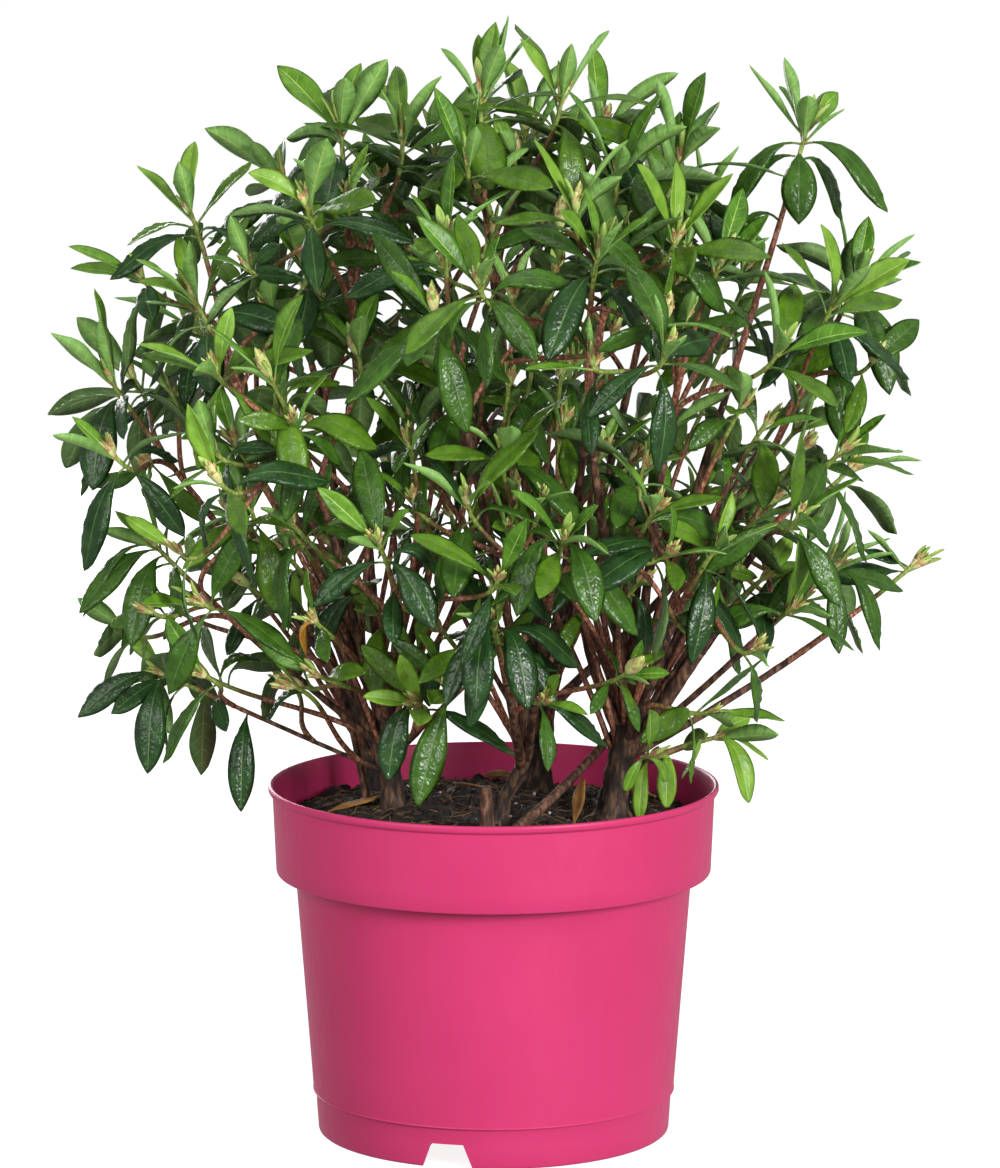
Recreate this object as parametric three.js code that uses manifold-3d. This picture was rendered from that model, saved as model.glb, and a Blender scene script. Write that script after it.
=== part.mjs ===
// A potted evergreen azalea in a pink plastic nursery pot, in millimetres.
// +Z is up, the front is -Y, and the origin is the centre of the pot's underside.
// Five stems stand on the soil. Each carries boughs, and each bough carries one mass of foliage:
// twigs that fork by a seeded rule, each ending in a whorl of leaves.
import * as THREE from "three";
import { mergeVertices } from "three/addons/utils/BufferGeometryUtils.js";
import Module from "manifold-3d";

const wasm = await Module();
wasm.setup();

// Driving sizes of the pot and its filling
const POT_HEIGHT = 180;
const RIM_RADIUS = 115;
const COLLAR_FOOT = 135;
const SEAM_HEIGHT = 21;
const FLOOR_HEIGHT = 10.8;
const WALL = 2;
const ROUND_STEPS = 34;
const BOSS_RADIUS = 13;
const RIBS = { count: 6, from: 10.5, to: 88.5 };
const NOTCHES = { count: 3, first: -105, low: 27, high: 17, height: 12.5, from: 82, to: 94 };
const DRAIN_HOLES = { count: 6, radius: 6, ring: 62 };
const SOIL_LEVEL = 166;
const GAP = 0.3;
const FINEST = 0.05;

// Driving sizes of the crown: the oval that holds the ends of its shoots, and its heart, which
// the shoots point away from
const CROWN_MIDDLE = new THREE.Vector3(0, 0, 345);
const CROWN_REACH = new THREE.Vector3(200, 182, 192);
const CROWN_SQUARENESS = 2.6;
const CROWN_HEART = new THREE.Vector3(0, 0, 300);
const END_LIFT = 0.9;

// Limbs: radii, how they curve and how finely they are made
const FLARE = { share: 0.7, height: 5, lowest: 1.5 };
const BOUGH = { radius: 1.9, radiusPerShoot: 0.26, endRadius: 1.5, taper: 0.7, share: 0.56 };
const BEND = { start: 0.36, end: 0.34, bow: 0.04, flatness: 0.4, lift: 0.15 };
const SHOOT = { radius: 1.35, tipRadius: 1.05, spread: 62, from: [0.12, 0.6], fallBack: [0.15, 0.5] };
const TWIG_GIRTH = 1.25;
const SIDES = { stem: 8, bough: 5, twig: 3 };
const RINGS = { stem: 6, bough: 4, leader: 3, side: 2 };

// Room that shoots and leaves need, and how often one is turned to find it
const POT_CLEARANCE = 4;
const LEAF_CLEARANCE = 1.5;
const TWIG_CLEARANCE = 7;
const TIP_GAP = 27;
const SHOOT_RETRY = { times: 9, turn: 65, wander: 14 };
const LEAF_RETRY = { times: 8, turn: 31, shrink: 0.95 };

// Stems: foot on the soil, head, radius at the foot and at the head
const STEMS = {
  left: { foot: [-51, -12], head: [-55, -12, 217], radii: [5.6, 4.8] },
  right: { foot: [61, -20], head: [67, -18, 214], radii: [7.4, 6.2] },
  middle: { foot: [23, 48], head: [27, 52, 224], radii: [6.4, 5.2] },
  front: { foot: [3, -40], head: [17, -46, 207], radii: [3.8, 2.9] },
  rear: { foot: [-62, 45], head: [-74, 54, 214], radii: [4, 3.2] },
};

// Limbs: the stem they leave, the share of its height where they leave, the tip of the leading
// shoot, the number of shoots and the turn of the first side shoot about the leading one.
// A limb marked bare has no bough of its own, and its foliage grows straight from the stem.
const LIMBS = [
  { name: "upper_left", stem: "left", at: 1, tip: [-77, 10, 514], shoots: 4, turn: 200 },
  { name: "left_shoulder", stem: "left", at: 0.92, tip: [-150, -25, 432], shoots: 4, turn: 80 },
  { name: "left_front", stem: "left", at: 0.86, tip: [-109, -100, 401], shoots: 3, turn: 250 },
  { name: "left_edge", stem: "left", at: 0.78, tip: [-193, 0, 386], shoots: 3, turn: 300 },
  { name: "centre_front", stem: "left", at: 0.68, tip: [-56, -125, 323], shoots: 3, turn: 20 },
  { name: "left_mid_edge", stem: "left", at: 0.6, tip: [-170, -25, 306], shoots: 4, turn: 60 },
  { name: "left_low", stem: "left", at: 0.36, tip: [-168, 0, 236], shoots: 3, turn: 100 },
  { name: "low_front_left", stem: "left", at: 0.5, tip: [-37, -85, 236], shoots: 2, turn: 0, bare: true },
  { name: "right_centre_upper", stem: "right", at: 1, tip: [51, -120, 464], shoots: 4, turn: 0 },
  { name: "sprig_top_right", stem: "right", at: 0.97, tip: [157, 0, 513], shoots: 2, turn: 0 },
  { name: "right_upper", stem: "right", at: 0.92, tip: [112, -55, 451], shoots: 4, turn: 300 },
  { name: "right_edge_upper", stem: "right", at: 0.86, tip: [183, 0, 436], shoots: 3, turn: 220 },
  { name: "right_edge_mid", stem: "right", at: 0.8, tip: [174, -40, 356], shoots: 3, turn: 180 },
  { name: "right_low_front", stem: "right", at: 0.72, tip: [110, -100, 317], shoots: 4, turn: 150 },
  { name: "right_low_edge", stem: "right", at: 0.64, tip: [172, -30, 296], shoots: 4, turn: 60 },
  { name: "right_outlier", stem: "right", at: 0.56, tip: [213, 10, 290], shoots: 1, turn: 0 },
  { name: "low_right", stem: "right", at: 0.4, tip: [112, -10, 205], shoots: 2, turn: 0, bare: true },
  { name: "centre_upper", stem: "front", at: 1, tip: [-23, -75, 465], shoots: 4, turn: 140 },
  { name: "right_front", stem: "front", at: 0.86, tip: [34, -140, 327], shoots: 3, turn: 350 },
  { name: "front_low", stem: "front", at: 0.7, tip: [0, -130, 284], shoots: 3, turn: 200, bare: true },
  { name: "top_crown", stem: "middle", at: 1, tip: [-6, -5, 531], shoots: 4, turn: 0 },
  { name: "top_right", stem: "middle", at: 0.95, tip: [62, -35, 495], shoots: 4, turn: 340 },
  { name: "back_top", stem: "middle", at: 0.9, tip: [-30, 75, 500], shoots: 4, turn: 30 },
  { name: "back_right_upper", stem: "middle", at: 0.85, tip: [88, 90, 455], shoots: 5, turn: 15 },
  { name: "back_centre", stem: "middle", at: 0.76, tip: [-5, 150, 365], shoots: 5, turn: 45 },
  { name: "back_right_low", stem: "middle", at: 0.66, tip: [125, 105, 305], shoots: 4, turn: 70 },
  { name: "back_left_upper", stem: "rear", at: 1, tip: [-112, 90, 435], shoots: 5, turn: 10 },
  { name: "back_left_low", stem: "rear", at: 0.72, tip: [-130, 105, 300], shoots: 4, turn: 40 },
];

// Whorl at the end of a shoot: the young leaves stand up, the old ones spread and droop
const YOUNG = { count: 2, lean: [22, 50], length: [42, 54], weight: 0.05, arch: 0.05 };
const OLD = { count: 4, lean: [74, 112], length: [50, 62], weight: 0.42, arch: 0.1 };
const LEAF = { width: 0.42, thickness: 1, step: 2.6, turn: 137.5, rootDepth: 0.35 };

const UP = new THREE.Vector3(0, 0, 1);
const radians = THREE.MathUtils.degToRad;
const vector = (values) => new THREE.Vector3(...values);
const mix = ([first, last], share) => first + (last - first) * share;

// Returns a function that draws the next number between low and high, always in the same order.
function seeded(seed) {
  let state = Math.imul(seed + 1, 2654435761) >>> 0;
  return (low, high) => {
    state = (Math.imul(state, 1664525) + 1013904223) >>> 0;
    return low + ((high - low) * state) / 4294967296;
  };
}

// Solids

function solidOf(geometry) {
  const bare = geometry.clone();
  bare.deleteAttribute("normal");
  bare.deleteAttribute("uv");
  const merged = mergeVertices(bare, 1e-4);
  const index = merged.index.array;
  const faces = [];
  for (let i = 0; i < index.length; i += 3) {
    const [a, b, c] = [index[i], index[i + 1], index[i + 2]];
    if (a !== b && b !== c && c !== a) faces.push(a, b, c);
  }
  const vertProperties = merged.getAttribute("position").array;
  const triVerts = new Uint32Array(faces);
  return new wasm.Manifold(new wasm.Mesh({ numProp: 3, vertProperties, triVerts }));
}

function geometryOf(solid) {
  const mesh = solid.getMesh();
  const geometry = new THREE.BufferGeometry();
  geometry.setAttribute("position", new THREE.BufferAttribute(mesh.vertProperties, 3));
  geometry.setIndex(new THREE.BufferAttribute(mesh.triVerts, 1));
  const flat = geometry.toNonIndexed();
  flat.computeVertexNormals();
  return flat;
}

// The largest body of a solid, with no loose scrap and no sealed hollow.
function mainBody(solid) {
  return solid.decompose().reduce((best, body) => (body.volume() > best.volume() ? body : best));
}

function lathe(profile) {
  const points = profile.map(([radius, height]) => new THREE.Vector2(radius, height));
  return solidOf(new THREE.LatheGeometry(points, ROUND_STEPS).rotateX(Math.PI / 2));
}

// A round limb through the given points: a cylinder bent to them, with radiusAt giving its taper.
function tube(points, radiusAt, sides) {
  const rings = points.length - 1;
  const geometry = new THREE.CylinderGeometry(1, 1, 1, sides, rings);
  const frames = framesOf(points);
  const place = geometry.getAttribute("position");
  for (let i = 0; i < place.count; i++) {
    const ring = Math.round((place.getY(i) + 0.5) * rings);
    const radius = radiusAt(ring / rings);
    const point = points[ring]
      .clone()
      .addScaledVector(frames[ring].side, place.getX(i) * radius)
      .addScaledVector(frames[ring].over, place.getZ(i) * radius);
    place.setXYZ(i, point.x, point.y, point.z);
  }
  return solidOf(geometry);
}

// Two directions across the limb at each of its points, turned no more than the limb turns.
function framesOf(points) {
  const last = points.length - 1;
  let side = new THREE.Vector3(1, 0, 0);
  return points.map((_, i) => {
    const ahead = points[Math.min(i + 1, last)].clone().sub(points[Math.max(i - 1, 0)]).normalize();
    if (i === 0 && Math.abs(ahead.x) > 0.9) side = new THREE.Vector3(0, 1, 0);
    side = side.clone().addScaledVector(ahead, -side.dot(ahead)).normalize();
    return { side, over: new THREE.Vector3().crossVectors(side, ahead) };
  });
}

// Pot and soil

function potSolid() {
  const lip = POT_HEIGHT - 4.6;
  const shell = lathe([
    [0, FLOOR_HEIGHT],
    [88.2, FLOOR_HEIGHT],
    [87.6, 0],
    [89.4, 0],
    [90.1, 1.4],
    [91.4, SEAM_HEIGHT - 0.4],
    [92.5, SEAM_HEIGHT + 0.4],
    [101.5, COLLAR_FOOT - 0.2],
    [111.1, COLLAR_FOOT - 0.2],
    [112.9, lip],
    [RIM_RADIUS, lip + 1.6],
    [RIM_RADIUS, POT_HEIGHT - 0.8],
    [RIM_RADIUS - 0.7, POT_HEIGHT],
    [RIM_RADIUS - 2.2, POT_HEIGHT],
    [109.3, COLLAR_FOOT + WALL],
    [99.6, COLLAR_FOOT + WALL],
    [88.4, FLOOR_HEIGHT + WALL],
    [0, FLOOR_HEIGHT + WALL],
  ]);
  const boss = solidOf(
    new THREE.CylinderGeometry(BOSS_RADIUS, BOSS_RADIUS, FLOOR_HEIGHT + 1, 16)
      .rotateX(Math.PI / 2)
      .translate(0, 0, (FLOOR_HEIGHT + 1) / 2),
  );
  const { count, from, to } = RIBS;
  const ribs = Array.from({ length: count }, (_, k) =>
    solidOf(
      new THREE.BoxGeometry(to - from, WALL, FLOOR_HEIGHT - 1)
        .translate((from + to) / 2, 0, (FLOOR_HEIGHT + 3) / 2)
        .rotateZ(radians(NOTCHES.first + (360 / count) * (k + 0.5))),
    ),
  );
  return mainBody(wasm.Manifold.union([shell, boss, ...ribs]).subtract(cutOuts()));
}

// The drain notches in the foot ring and the drain holes in the floor.
function cutOuts() {
  const { count, first, low, high, height, from, to } = NOTCHES;
  const outline = new THREE.Shape([
    new THREE.Vector2(-low / 2, -1),
    new THREE.Vector2(low / 2, -1),
    new THREE.Vector2(high / 2, height),
    new THREE.Vector2(-high / 2, height),
  ]);
  const cuts = [];
  for (let k = 0; k < count; k++) {
    cuts.push(
      solidOf(
        new THREE.ExtrudeGeometry(outline, { depth: to - from, bevelEnabled: false })
          .rotateX(Math.PI / 2)
          .rotateZ(Math.PI / 2)
          .translate(from, 0, 0)
          .rotateZ(radians(first + (360 / count) * k)),
      ),
    );
  }
  const { count: holes, radius, ring } = DRAIN_HOLES;
  for (let k = 0; k < holes; k++) {
    cuts.push(
      solidOf(
        new THREE.CylinderGeometry(radius, radius, 8, 8)
          .rotateX(Math.PI / 2)
          .translate(ring, 0, FLOOR_HEIGHT + 1)
          .rotateZ(radians(first + (360 / holes) * k)),
      ),
    );
  }
  return wasm.Manifold.union(cuts);
}

function soilSolid() {
  return lathe([
    [0, FLOOR_HEIGHT + WALL + GAP],
    [88.05, FLOOR_HEIGHT + WALL + GAP],
    [99.2, COLLAR_FOOT + WALL + GAP],
    [108.9, COLLAR_FOOT + WALL + GAP],
    [111.3, SOIL_LEVEL],
    [0, SOIL_LEVEL],
  ]);
}

// Stems and limbs

function stemOf({ foot, head, radii }) {
  const low = new THREE.Vector3(foot[0], foot[1], SOIL_LEVEL + GAP);
  const high = vector(head);
  const rise = high.z - low.z;
  const curve = new THREE.CubicBezierCurve3(
    low,
    low.clone().addScaledVector(UP, rise * 0.4),
    high.clone().addScaledVector(UP, -rise * 0.3),
    high,
  );
  const points = curve.getPoints(RINGS.stem);
  points.splice(1, 0, low.clone().addScaledVector(UP, FLARE.lowest));
  const radiusAt = (share) => {
    const height = onLine(points, share).z - low.z;
    return mix(radii, height / rise) * (1 + FLARE.share * Math.exp(-height / FLARE.height));
  };
  return { curve, points, radiusAt };
}

// The way that a shoot ends: outwards from the heart of the crown, and turned up.
function endWay(tip) {
  return tip.clone().sub(CROWN_HEART).normalize().addScaledVector(UP, END_LIFT).normalize();
}

function bend(start, startWay, tip) {
  const span = start.distanceTo(tip);
  return new THREE.CubicBezierCurve3(
    start,
    start.clone().addScaledVector(startWay, span * BEND.start),
    tip.clone().addScaledVector(endWay(tip), -span * BEND.end),
    tip,
  );
}

// The two curves that a cubic curve makes when it is cut at a share of its run.
function cutInTwo({ v0, v1, v2, v3 }, share) {
  const between = (a, b) => a.clone().lerp(b, share);
  const [a, b, c] = [between(v0, v1), between(v1, v2), between(v2, v3)];
  const [d, e] = [between(a, b), between(b, c)];
  const middle = between(d, e);
  return [
    new THREE.CubicBezierCurve3(v0, a, d, middle),
    new THREE.CubicBezierCurve3(middle, e, c, v3),
  ];
}

// One cubic curve from the axis of a stem to the tip of the limb's leading shoot.
function limbCurve({ stem, at, tip: end }, random) {
  const start = stems[stem].curve.getPoint(at);
  const tip = vector(end);
  const way = tip.clone().sub(start).normalize();
  const flat = way.clone().setZ(way.z * BEND.flatness).normalize();
  const startWay = way.lerp(flat, 1 - at).addScaledVector(UP, BEND.lift).normalize();
  const curve = bend(start, startWay, tip);
  const bow = start.distanceTo(tip) * BEND.bow;
  for (const handle of [curve.v1, curve.v2])
    handle.add(new THREE.Vector3(random(-bow, bow), random(-bow, bow), random(-bow, bow)));
  return curve;
}

// How far out a point lies in the crown: 1 on the oval that holds the ends of its shoots.
function crownShare(point) {
  const shares = point.clone().sub(CROWN_MIDDLE).divide(CROWN_REACH).toArray();
  const sum = shares.reduce((total, share) => total + Math.abs(share) ** CROWN_SQUARENESS, 0);
  return sum ** (1 / CROWN_SQUARENESS);
}

// The point at a share of the way along a line of points.
function onLine(points, share) {
  const place = share * (points.length - 1);
  const low = Math.min(Math.floor(place), points.length - 2);
  return points[low].clone().lerp(points[low + 1], place - low);
}

// The side shoots of a mass leave its leading shoot and end on a dome about its tip.
function sideShoot(leader, turn, random) {
  const tip = leader.at(-1);
  const way = endWay(tip);
  const side = new THREE.Vector3().crossVectors(way, UP).normalize();
  const over = new THREE.Vector3().crossVectors(side, way);
  const angle = radians(turn + random(-SHOOT_RETRY.wander, SHOOT_RETRY.wander));
  const reach = SHOOT.spread * random(0.85, 1.15);
  const end = tip
    .clone()
    .addScaledVector(side, reach * Math.cos(angle))
    .addScaledVector(over, reach * Math.sin(angle))
    .addScaledVector(way, -reach * random(...SHOOT.fallBack));
  const from = random(...SHOOT.from);
  const start = onLine(leader, from);
  const along = onLine(leader, from + 0.1).sub(start).normalize();
  const startWay = end.clone().sub(start).normalize().add(along).normalize();
  return bend(start, startWay, end).getPoints(RINGS.side);
}

// Spaces: each mass owns the points that lie nearer to its twigs than to any other twig

const bones = [];

function addBones(owner, kind, points, radiusAt) {
  for (let i = 1; i < points.length; i++) {
    const line = new THREE.Line3(points[i - 1], points[i]);
    bones.push({ owner, kind, points, line, radius: radiusAt((i - 1) / (points.length - 1)) });
  }
}

const nearest = new THREE.Vector3();
function distanceTo(bone, point) {
  return bone.line.closestPointToPoint(point, true, nearest).distanceTo(point) - bone.radius;
}

function isClearOfPot(point) {
  const out = Math.hypot(point.x, point.y);
  return point.z > POT_HEIGHT + POT_CLEARANCE || out > RIM_RADIUS + POT_CLEARANCE;
}

function isOwnSpace(owner, shoot, points) {
  return points.every((point) => {
    let own = Infinity;
    let other = Infinity;
    for (const bone of bones) {
      const away = distanceTo(bone, point);
      const isInWay = bone.kind === "wood" || (bone.owner === owner && bone.points !== shoot);
      if (isInWay && away < LEAF_CLEARANCE) return false;
      if (bone.owner === owner) own = Math.min(own, away);
      else other = Math.min(other, away);
    }
    return own + LEAF_CLEARANCE / 2 < other;
  });
}

// A shoot is dropped if it leaves the crown, meets the pot, comes near wood or twigs of another
// mass, or ends beside the end of another shoot.
function hasRoom(owner, points, leader) {
  const end = points.at(-1);
  const isBeside = ({ kind, points: other }) => kind === "twig" && other.at(-1).distanceTo(end) < TIP_GAP;
  if (crownShare(end) > Math.max(1, crownShare(leader.at(-1))) || bones.some(isBeside)) return false;
  return [0.3, 0.4, 0.5, 0.6, 0.7, 0.8, 0.9, 1].every((share) => {
    const point = onLine(points, share);
    if (!isClearOfPot(point)) return false;
    return bones.every((bone) => bone.owner === owner || distanceTo(bone, point) > TWIG_CLEARANCE);
  });
}

// Leaves

// A blade's corners and the points that stand for it, as shares of its length along it, of its
// width across it and of its arch above it.
const CORNERS = {
  heel: [0.06, 0, 0.13],
  left: [0.46, 0.5, 1],
  right: [0.46, -0.5, 1],
  leftEdge: [0.73, 0.25, 0.5],
  rightEdge: [0.73, -0.25, 0.5],
  tip: [1, 0, 0],
};

function cornersOf({ root, way, face, length, arch }) {
  const side = new THREE.Vector3().crossVectors(face, way);
  const place = ([along, across, lift]) =>
    root
      .clone()
      .addScaledVector(way, along * length)
      .addScaledVector(side, across * LEAF.width * length)
      .addScaledVector(face, lift * arch * length);
  return Object.fromEntries(Object.entries(CORNERS).map(([name, at]) => [name, place(at)]));
}

// A blade of eight faces: an octahedron drawn out to a pointed oval, with its middle arched.
function leafSolid({ root, way, face, length, arch }) {
  const side = new THREE.Vector3().crossVectors(face, way);
  const geometry = new THREE.OctahedronGeometry(1);
  const place = geometry.getAttribute("position");
  for (let i = 0; i < place.count; i++) {
    const [x, y, z] = [place.getX(i), place.getY(i), place.getZ(i)];
    const isMiddle = Math.abs(x) < 0.5;
    const along = isMiddle ? CORNERS.left[0] : (x + 1) / 2;
    const point = root
      .clone()
      .addScaledVector(way, along * length)
      .addScaledVector(side, (y * LEAF.width * length) / 2)
      .addScaledVector(face, (z * LEAF.thickness) / 2 + (isMiddle ? arch * length : 0));
    place.setXYZ(i, point.x, point.y, point.z);
  }
  return solidOf(geometry);
}

// Two leaves cross if an edge of one goes through the other, past the heels where a whorl meets.
function isCrossing(one, two) {
  const pierces = ({ heel, left, right, tip }, blade) =>
    [
      [heel, left],
      [left, tip],
      [tip, right],
      [right, heel],
      [left, right],
    ].some(([from, to]) => {
      const ray = new THREE.Ray(from, to.clone().sub(from).normalize());
      return [blade.heel, blade.tip].some((end) => {
        const hit = ray.intersectTriangle(blade.left, blade.right, end, false, new THREE.Vector3());
        return hit && hit.distanceTo(from) < to.distanceTo(from);
      });
    });
  return pierces(one, two) || pierces(two, one);
}

// The leaves of the whorl at the end of a shoot. Each comes out through the middle of one side
// of the twig. One with no room is turned and shortened, and after the last try it is skipped.
function addWhorl(owner, shoot, leaves, random) {
  const tip = shoot.at(-1);
  const axis = tip.clone().sub(shoot.at(-2)).normalize();
  const { side, over } = framesOf(shoot).at(-1);
  const around = (angle) =>
    side.clone().multiplyScalar(Math.sin(angle)).addScaledVector(over, Math.cos(angle));
  const faces = Array.from({ length: SIDES.twig }, (_, k) =>
    around((Math.PI * (2 * k + 1)) / SIDES.twig).multiplyScalar((TWIG_GIRTH * SHOOT.tipRadius) / 2),
  );
  let turn = random(0, 360);
  let back = 0;
  for (const kind of [YOUNG, OLD]) {
    for (let k = 0; k < kind.count; k++) {
      turn += LEAF.turn;
      back += LEAF.step * random(0.8, 1.2);
      const lean = radians(random(...kind.lean));
      const full = random(...kind.length);
      for (let attempt = 0; attempt < LEAF_RETRY.times; attempt++) {
        const way = around(radians(turn + LEAF_RETRY.turn * attempt))
          .multiplyScalar(Math.sin(lean))
          .addScaledVector(axis, Math.cos(lean))
          .addScaledVector(UP, -kind.weight)
          .normalize();
        const face = axis.clone().addScaledVector(way, -axis.dot(way)).normalize();
        const exit = faces.reduce((best, each) => (each.dot(way) > best.dot(way) ? each : best));
        const depth = LEAF.rootDepth / Math.max(0.3, exit.clone().normalize().dot(way));
        const root = tip.clone().addScaledVector(axis, -back).add(exit).addScaledVector(way, -depth);
        const length = full * LEAF_RETRY.shrink ** attempt;
        const leaf = { root, way, face, length, arch: kind.arch };
        const corners = cornersOf(leaf);
        const places = Object.values(corners);
        if (!places.every(isClearOfPot) || !isOwnSpace(owner, shoot, places)) continue;
        if (leaves.some((other) => isCrossing(corners, other.corners))) continue;
        leaves.push({ ...leaf, corners });
        break;
      }
    }
  }
}

// Assembly

const plant = new THREE.Group();
const LOOKS = {
  pot: { color: 0xd8285f, roughness: 0.42 },
  soil: { color: 0x2a1d14, roughness: 0.95 },
  bark: { color: 0x5d3d2c, roughness: 0.85 },
  leaf: { color: 0x3d6b2c, roughness: 0.5 },
};

function addNode(name, solid, look) {
  const mesh = new THREE.Mesh(geometryOf(solid), new THREE.MeshStandardMaterial(LOOKS[look]));
  mesh.name = name;
  plant.add(mesh);
}

addNode("pot", potSolid(), "pot");
addNode("soil", soilSolid(), "soil");

const stems = {};
for (const [name, plan] of Object.entries(STEMS)) {
  const { curve, points, radiusAt } = stemOf(plan);
  const [x, y, z] = plan.head;
  const wider = stemOf({ ...plan, head: [x, y, z + GAP] });
  const cleared = tube(wider.points, (share) => radiusAt(share) + GAP, SIDES.stem);
  stems[name] = { curve, cleared };
  addBones(name, "wood", points, radiusAt);
  addNode(`stem_${name}`, tube(points, radiusAt, SIDES.stem), "bark");
}

// Each bough ends where its mass of foliage begins, and is cut clear of its stem and of the
// boughs beside it.
const masses = [];
const boughs = [];
for (const [k, plan] of LIMBS.entries()) {
  const random = seeded(k);
  const whole = limbCurve(plan, random);
  const footRadius = BOUGH.radius + BOUGH.radiusPerShoot * plan.shoots;
  let leader = whole.getPoints(RINGS.leader + 1);
  let rootRadius = footRadius;
  if (!plan.bare) {
    const [bough, rest] = cutInTwo(whole, BOUGH.share);
    rootRadius = mix([footRadius, BOUGH.endRadius], BOUGH.share ** BOUGH.taper);
    const radiusAt = (share) => mix([footRadius, rootRadius], share ** BOUGH.taper);
    const points = bough.getPoints(RINGS.bough);
    const beside = boughs.filter(({ stem }) => stem === plan.stem).map(({ cleared }) => cleared);
    const solid = tube(points, radiusAt, SIDES.bough).subtract(
      wasm.Manifold.union([stems[plan.stem].cleared, ...beside]),
    );
    const cleared = tube(points, (share) => radiusAt(share) + GAP, SIDES.bough);
    boughs.push({ stem: plan.stem, cleared });
    addBones(plan.name, "wood", points, radiusAt);
    addNode(`bough_${plan.name}`, mainBody(solid.simplify(FINEST)), "bark");
    leader = rest.getPoints(RINGS.leader);
    leader[0] = leader[0].clone().addScaledVector(rest.getTangent(0), GAP);
  }
  masses.push({ plan, random, shoots: [{ points: leader, radii: [rootRadius, SHOOT.tipRadius] }] });
}

for (const { plan, shoots } of masses)
  addBones(plan.name, "twig", shoots[0].points, (share) => mix(shoots[0].radii, share));

for (const { plan, random, shoots } of masses) {
  const leader = shoots[0].points;
  for (let k = 1; k < plan.shoots; k++) {
    const turn = plan.turn + (360 / Math.max(2, plan.shoots - 1)) * (k - 1);
    for (let attempt = 0; attempt < SHOOT_RETRY.times; attempt++) {
      const points = sideShoot(leader, turn + SHOOT_RETRY.turn * attempt, random);
      if (!hasRoom(plan.name, points, leader)) continue;
      shoots.push({ points, radii: [SHOOT.radius, SHOOT.tipRadius] });
      addBones(plan.name, "twig", points, () => SHOOT.tipRadius);
      break;
    }
  }
}

for (const [k, { plan, shoots }] of masses.entries()) {
  const random = seeded(LIMBS.length + k);
  const leaves = [];
  for (const { points } of shoots) addWhorl(plan.name, points, leaves, random);
  const twigs = shoots.map(({ points, radii }) =>
    tube(points, (share) => TWIG_GIRTH * mix(radii, share), SIDES.twig),
  );
  let solid = wasm.Manifold.union([...twigs, ...leaves.map(leafSolid)]);
  if (plan.bare) solid = solid.subtract(stems[plan.stem].cleared);
  addNode(`foliage_${plan.name}`, mainBody(solid.simplify(FINEST)), "leaf");
}

export default plant;
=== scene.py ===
"""A potted evergreen azalea in a plain pale studio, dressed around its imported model.

Sizes are in millimetres and meshes are made in metres. +Z is up and the front is -Y.
"""

import math
from collections import defaultdict, namedtuple
from itertools import product

import bpy
import numpy as np
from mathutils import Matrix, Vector, noise


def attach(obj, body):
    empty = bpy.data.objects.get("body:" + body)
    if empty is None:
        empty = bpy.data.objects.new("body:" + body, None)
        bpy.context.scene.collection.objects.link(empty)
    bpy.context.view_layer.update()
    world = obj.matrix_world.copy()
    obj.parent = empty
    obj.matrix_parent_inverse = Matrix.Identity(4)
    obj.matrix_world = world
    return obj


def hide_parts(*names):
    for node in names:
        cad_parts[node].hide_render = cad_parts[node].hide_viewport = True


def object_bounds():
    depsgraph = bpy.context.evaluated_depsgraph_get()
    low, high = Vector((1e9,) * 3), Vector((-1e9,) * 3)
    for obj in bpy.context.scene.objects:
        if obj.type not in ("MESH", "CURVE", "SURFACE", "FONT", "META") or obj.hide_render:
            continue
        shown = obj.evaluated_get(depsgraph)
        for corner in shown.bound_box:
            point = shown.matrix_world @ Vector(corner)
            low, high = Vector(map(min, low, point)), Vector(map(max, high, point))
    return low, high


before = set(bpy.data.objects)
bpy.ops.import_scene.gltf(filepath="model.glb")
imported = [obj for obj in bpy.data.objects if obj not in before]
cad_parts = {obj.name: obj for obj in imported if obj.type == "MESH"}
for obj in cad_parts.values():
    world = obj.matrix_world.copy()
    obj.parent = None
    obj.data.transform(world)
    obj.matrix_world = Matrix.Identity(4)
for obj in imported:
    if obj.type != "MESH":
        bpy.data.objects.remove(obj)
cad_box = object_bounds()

MM = 0.001
EAST, NORTH, UP = np.eye(3)
FULL_TURN = 2 * math.pi
PHASES = (0, 6.28)
MOST_FACES = 190_000

# Pot and soil, as in the part
POT_HEIGHT = 180
RIM_RADIUS = 115
COLLAR_FOOT = 135
SEAM_HEIGHT = 21
FLOOR_HEIGHT = 10.8
WALL = 2
BOSS_RADIUS = 13
RIBS = dict(count=6, low=2.4, start=10.5, end=88.5)
NOTCHES = dict(count=3, first=-105, low=27, high=17, height=12.5, start=82, end=94)
DRAIN_HOLES = dict(count=6, radius=6, ring=62)
SOIL_LEVEL = 166
SOIL_RADIUS = 111.2
GAP = 0.3
POT_STEPS = 240

# Crown, limbs and shoots, as in the part
CROWN_MIDDLE = np.array([0.0, 0.0, 345.0])
CROWN_REACH = np.array([200.0, 182.0, 192.0])
CROWN_SQUARENESS = 2.6
CROWN_HEART = np.array([0.0, 0.0, 300.0])
END_LIFT = 0.9
FLARE = dict(share=0.7, height=5)
BOUGH = dict(radius=1.9, radius_per_shoot=0.26, end_radius=1.5, taper=0.7, share=0.56)
BEND = dict(start=0.36, end=0.34, bow=0.04, flatness=0.4, lift=0.15)
TIP_RADIUS = 1.05
SHOOT_TRIES = 9
SHOOT_TURN = 65
SHOOT_WANDER = 14
LEADER_RINGS = 3
SIDE_RINGS = 2
POT_CLEARANCE = 4
GOLDEN_TURN = 137.5
LOWEST_FINE_TIP = 222

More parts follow.
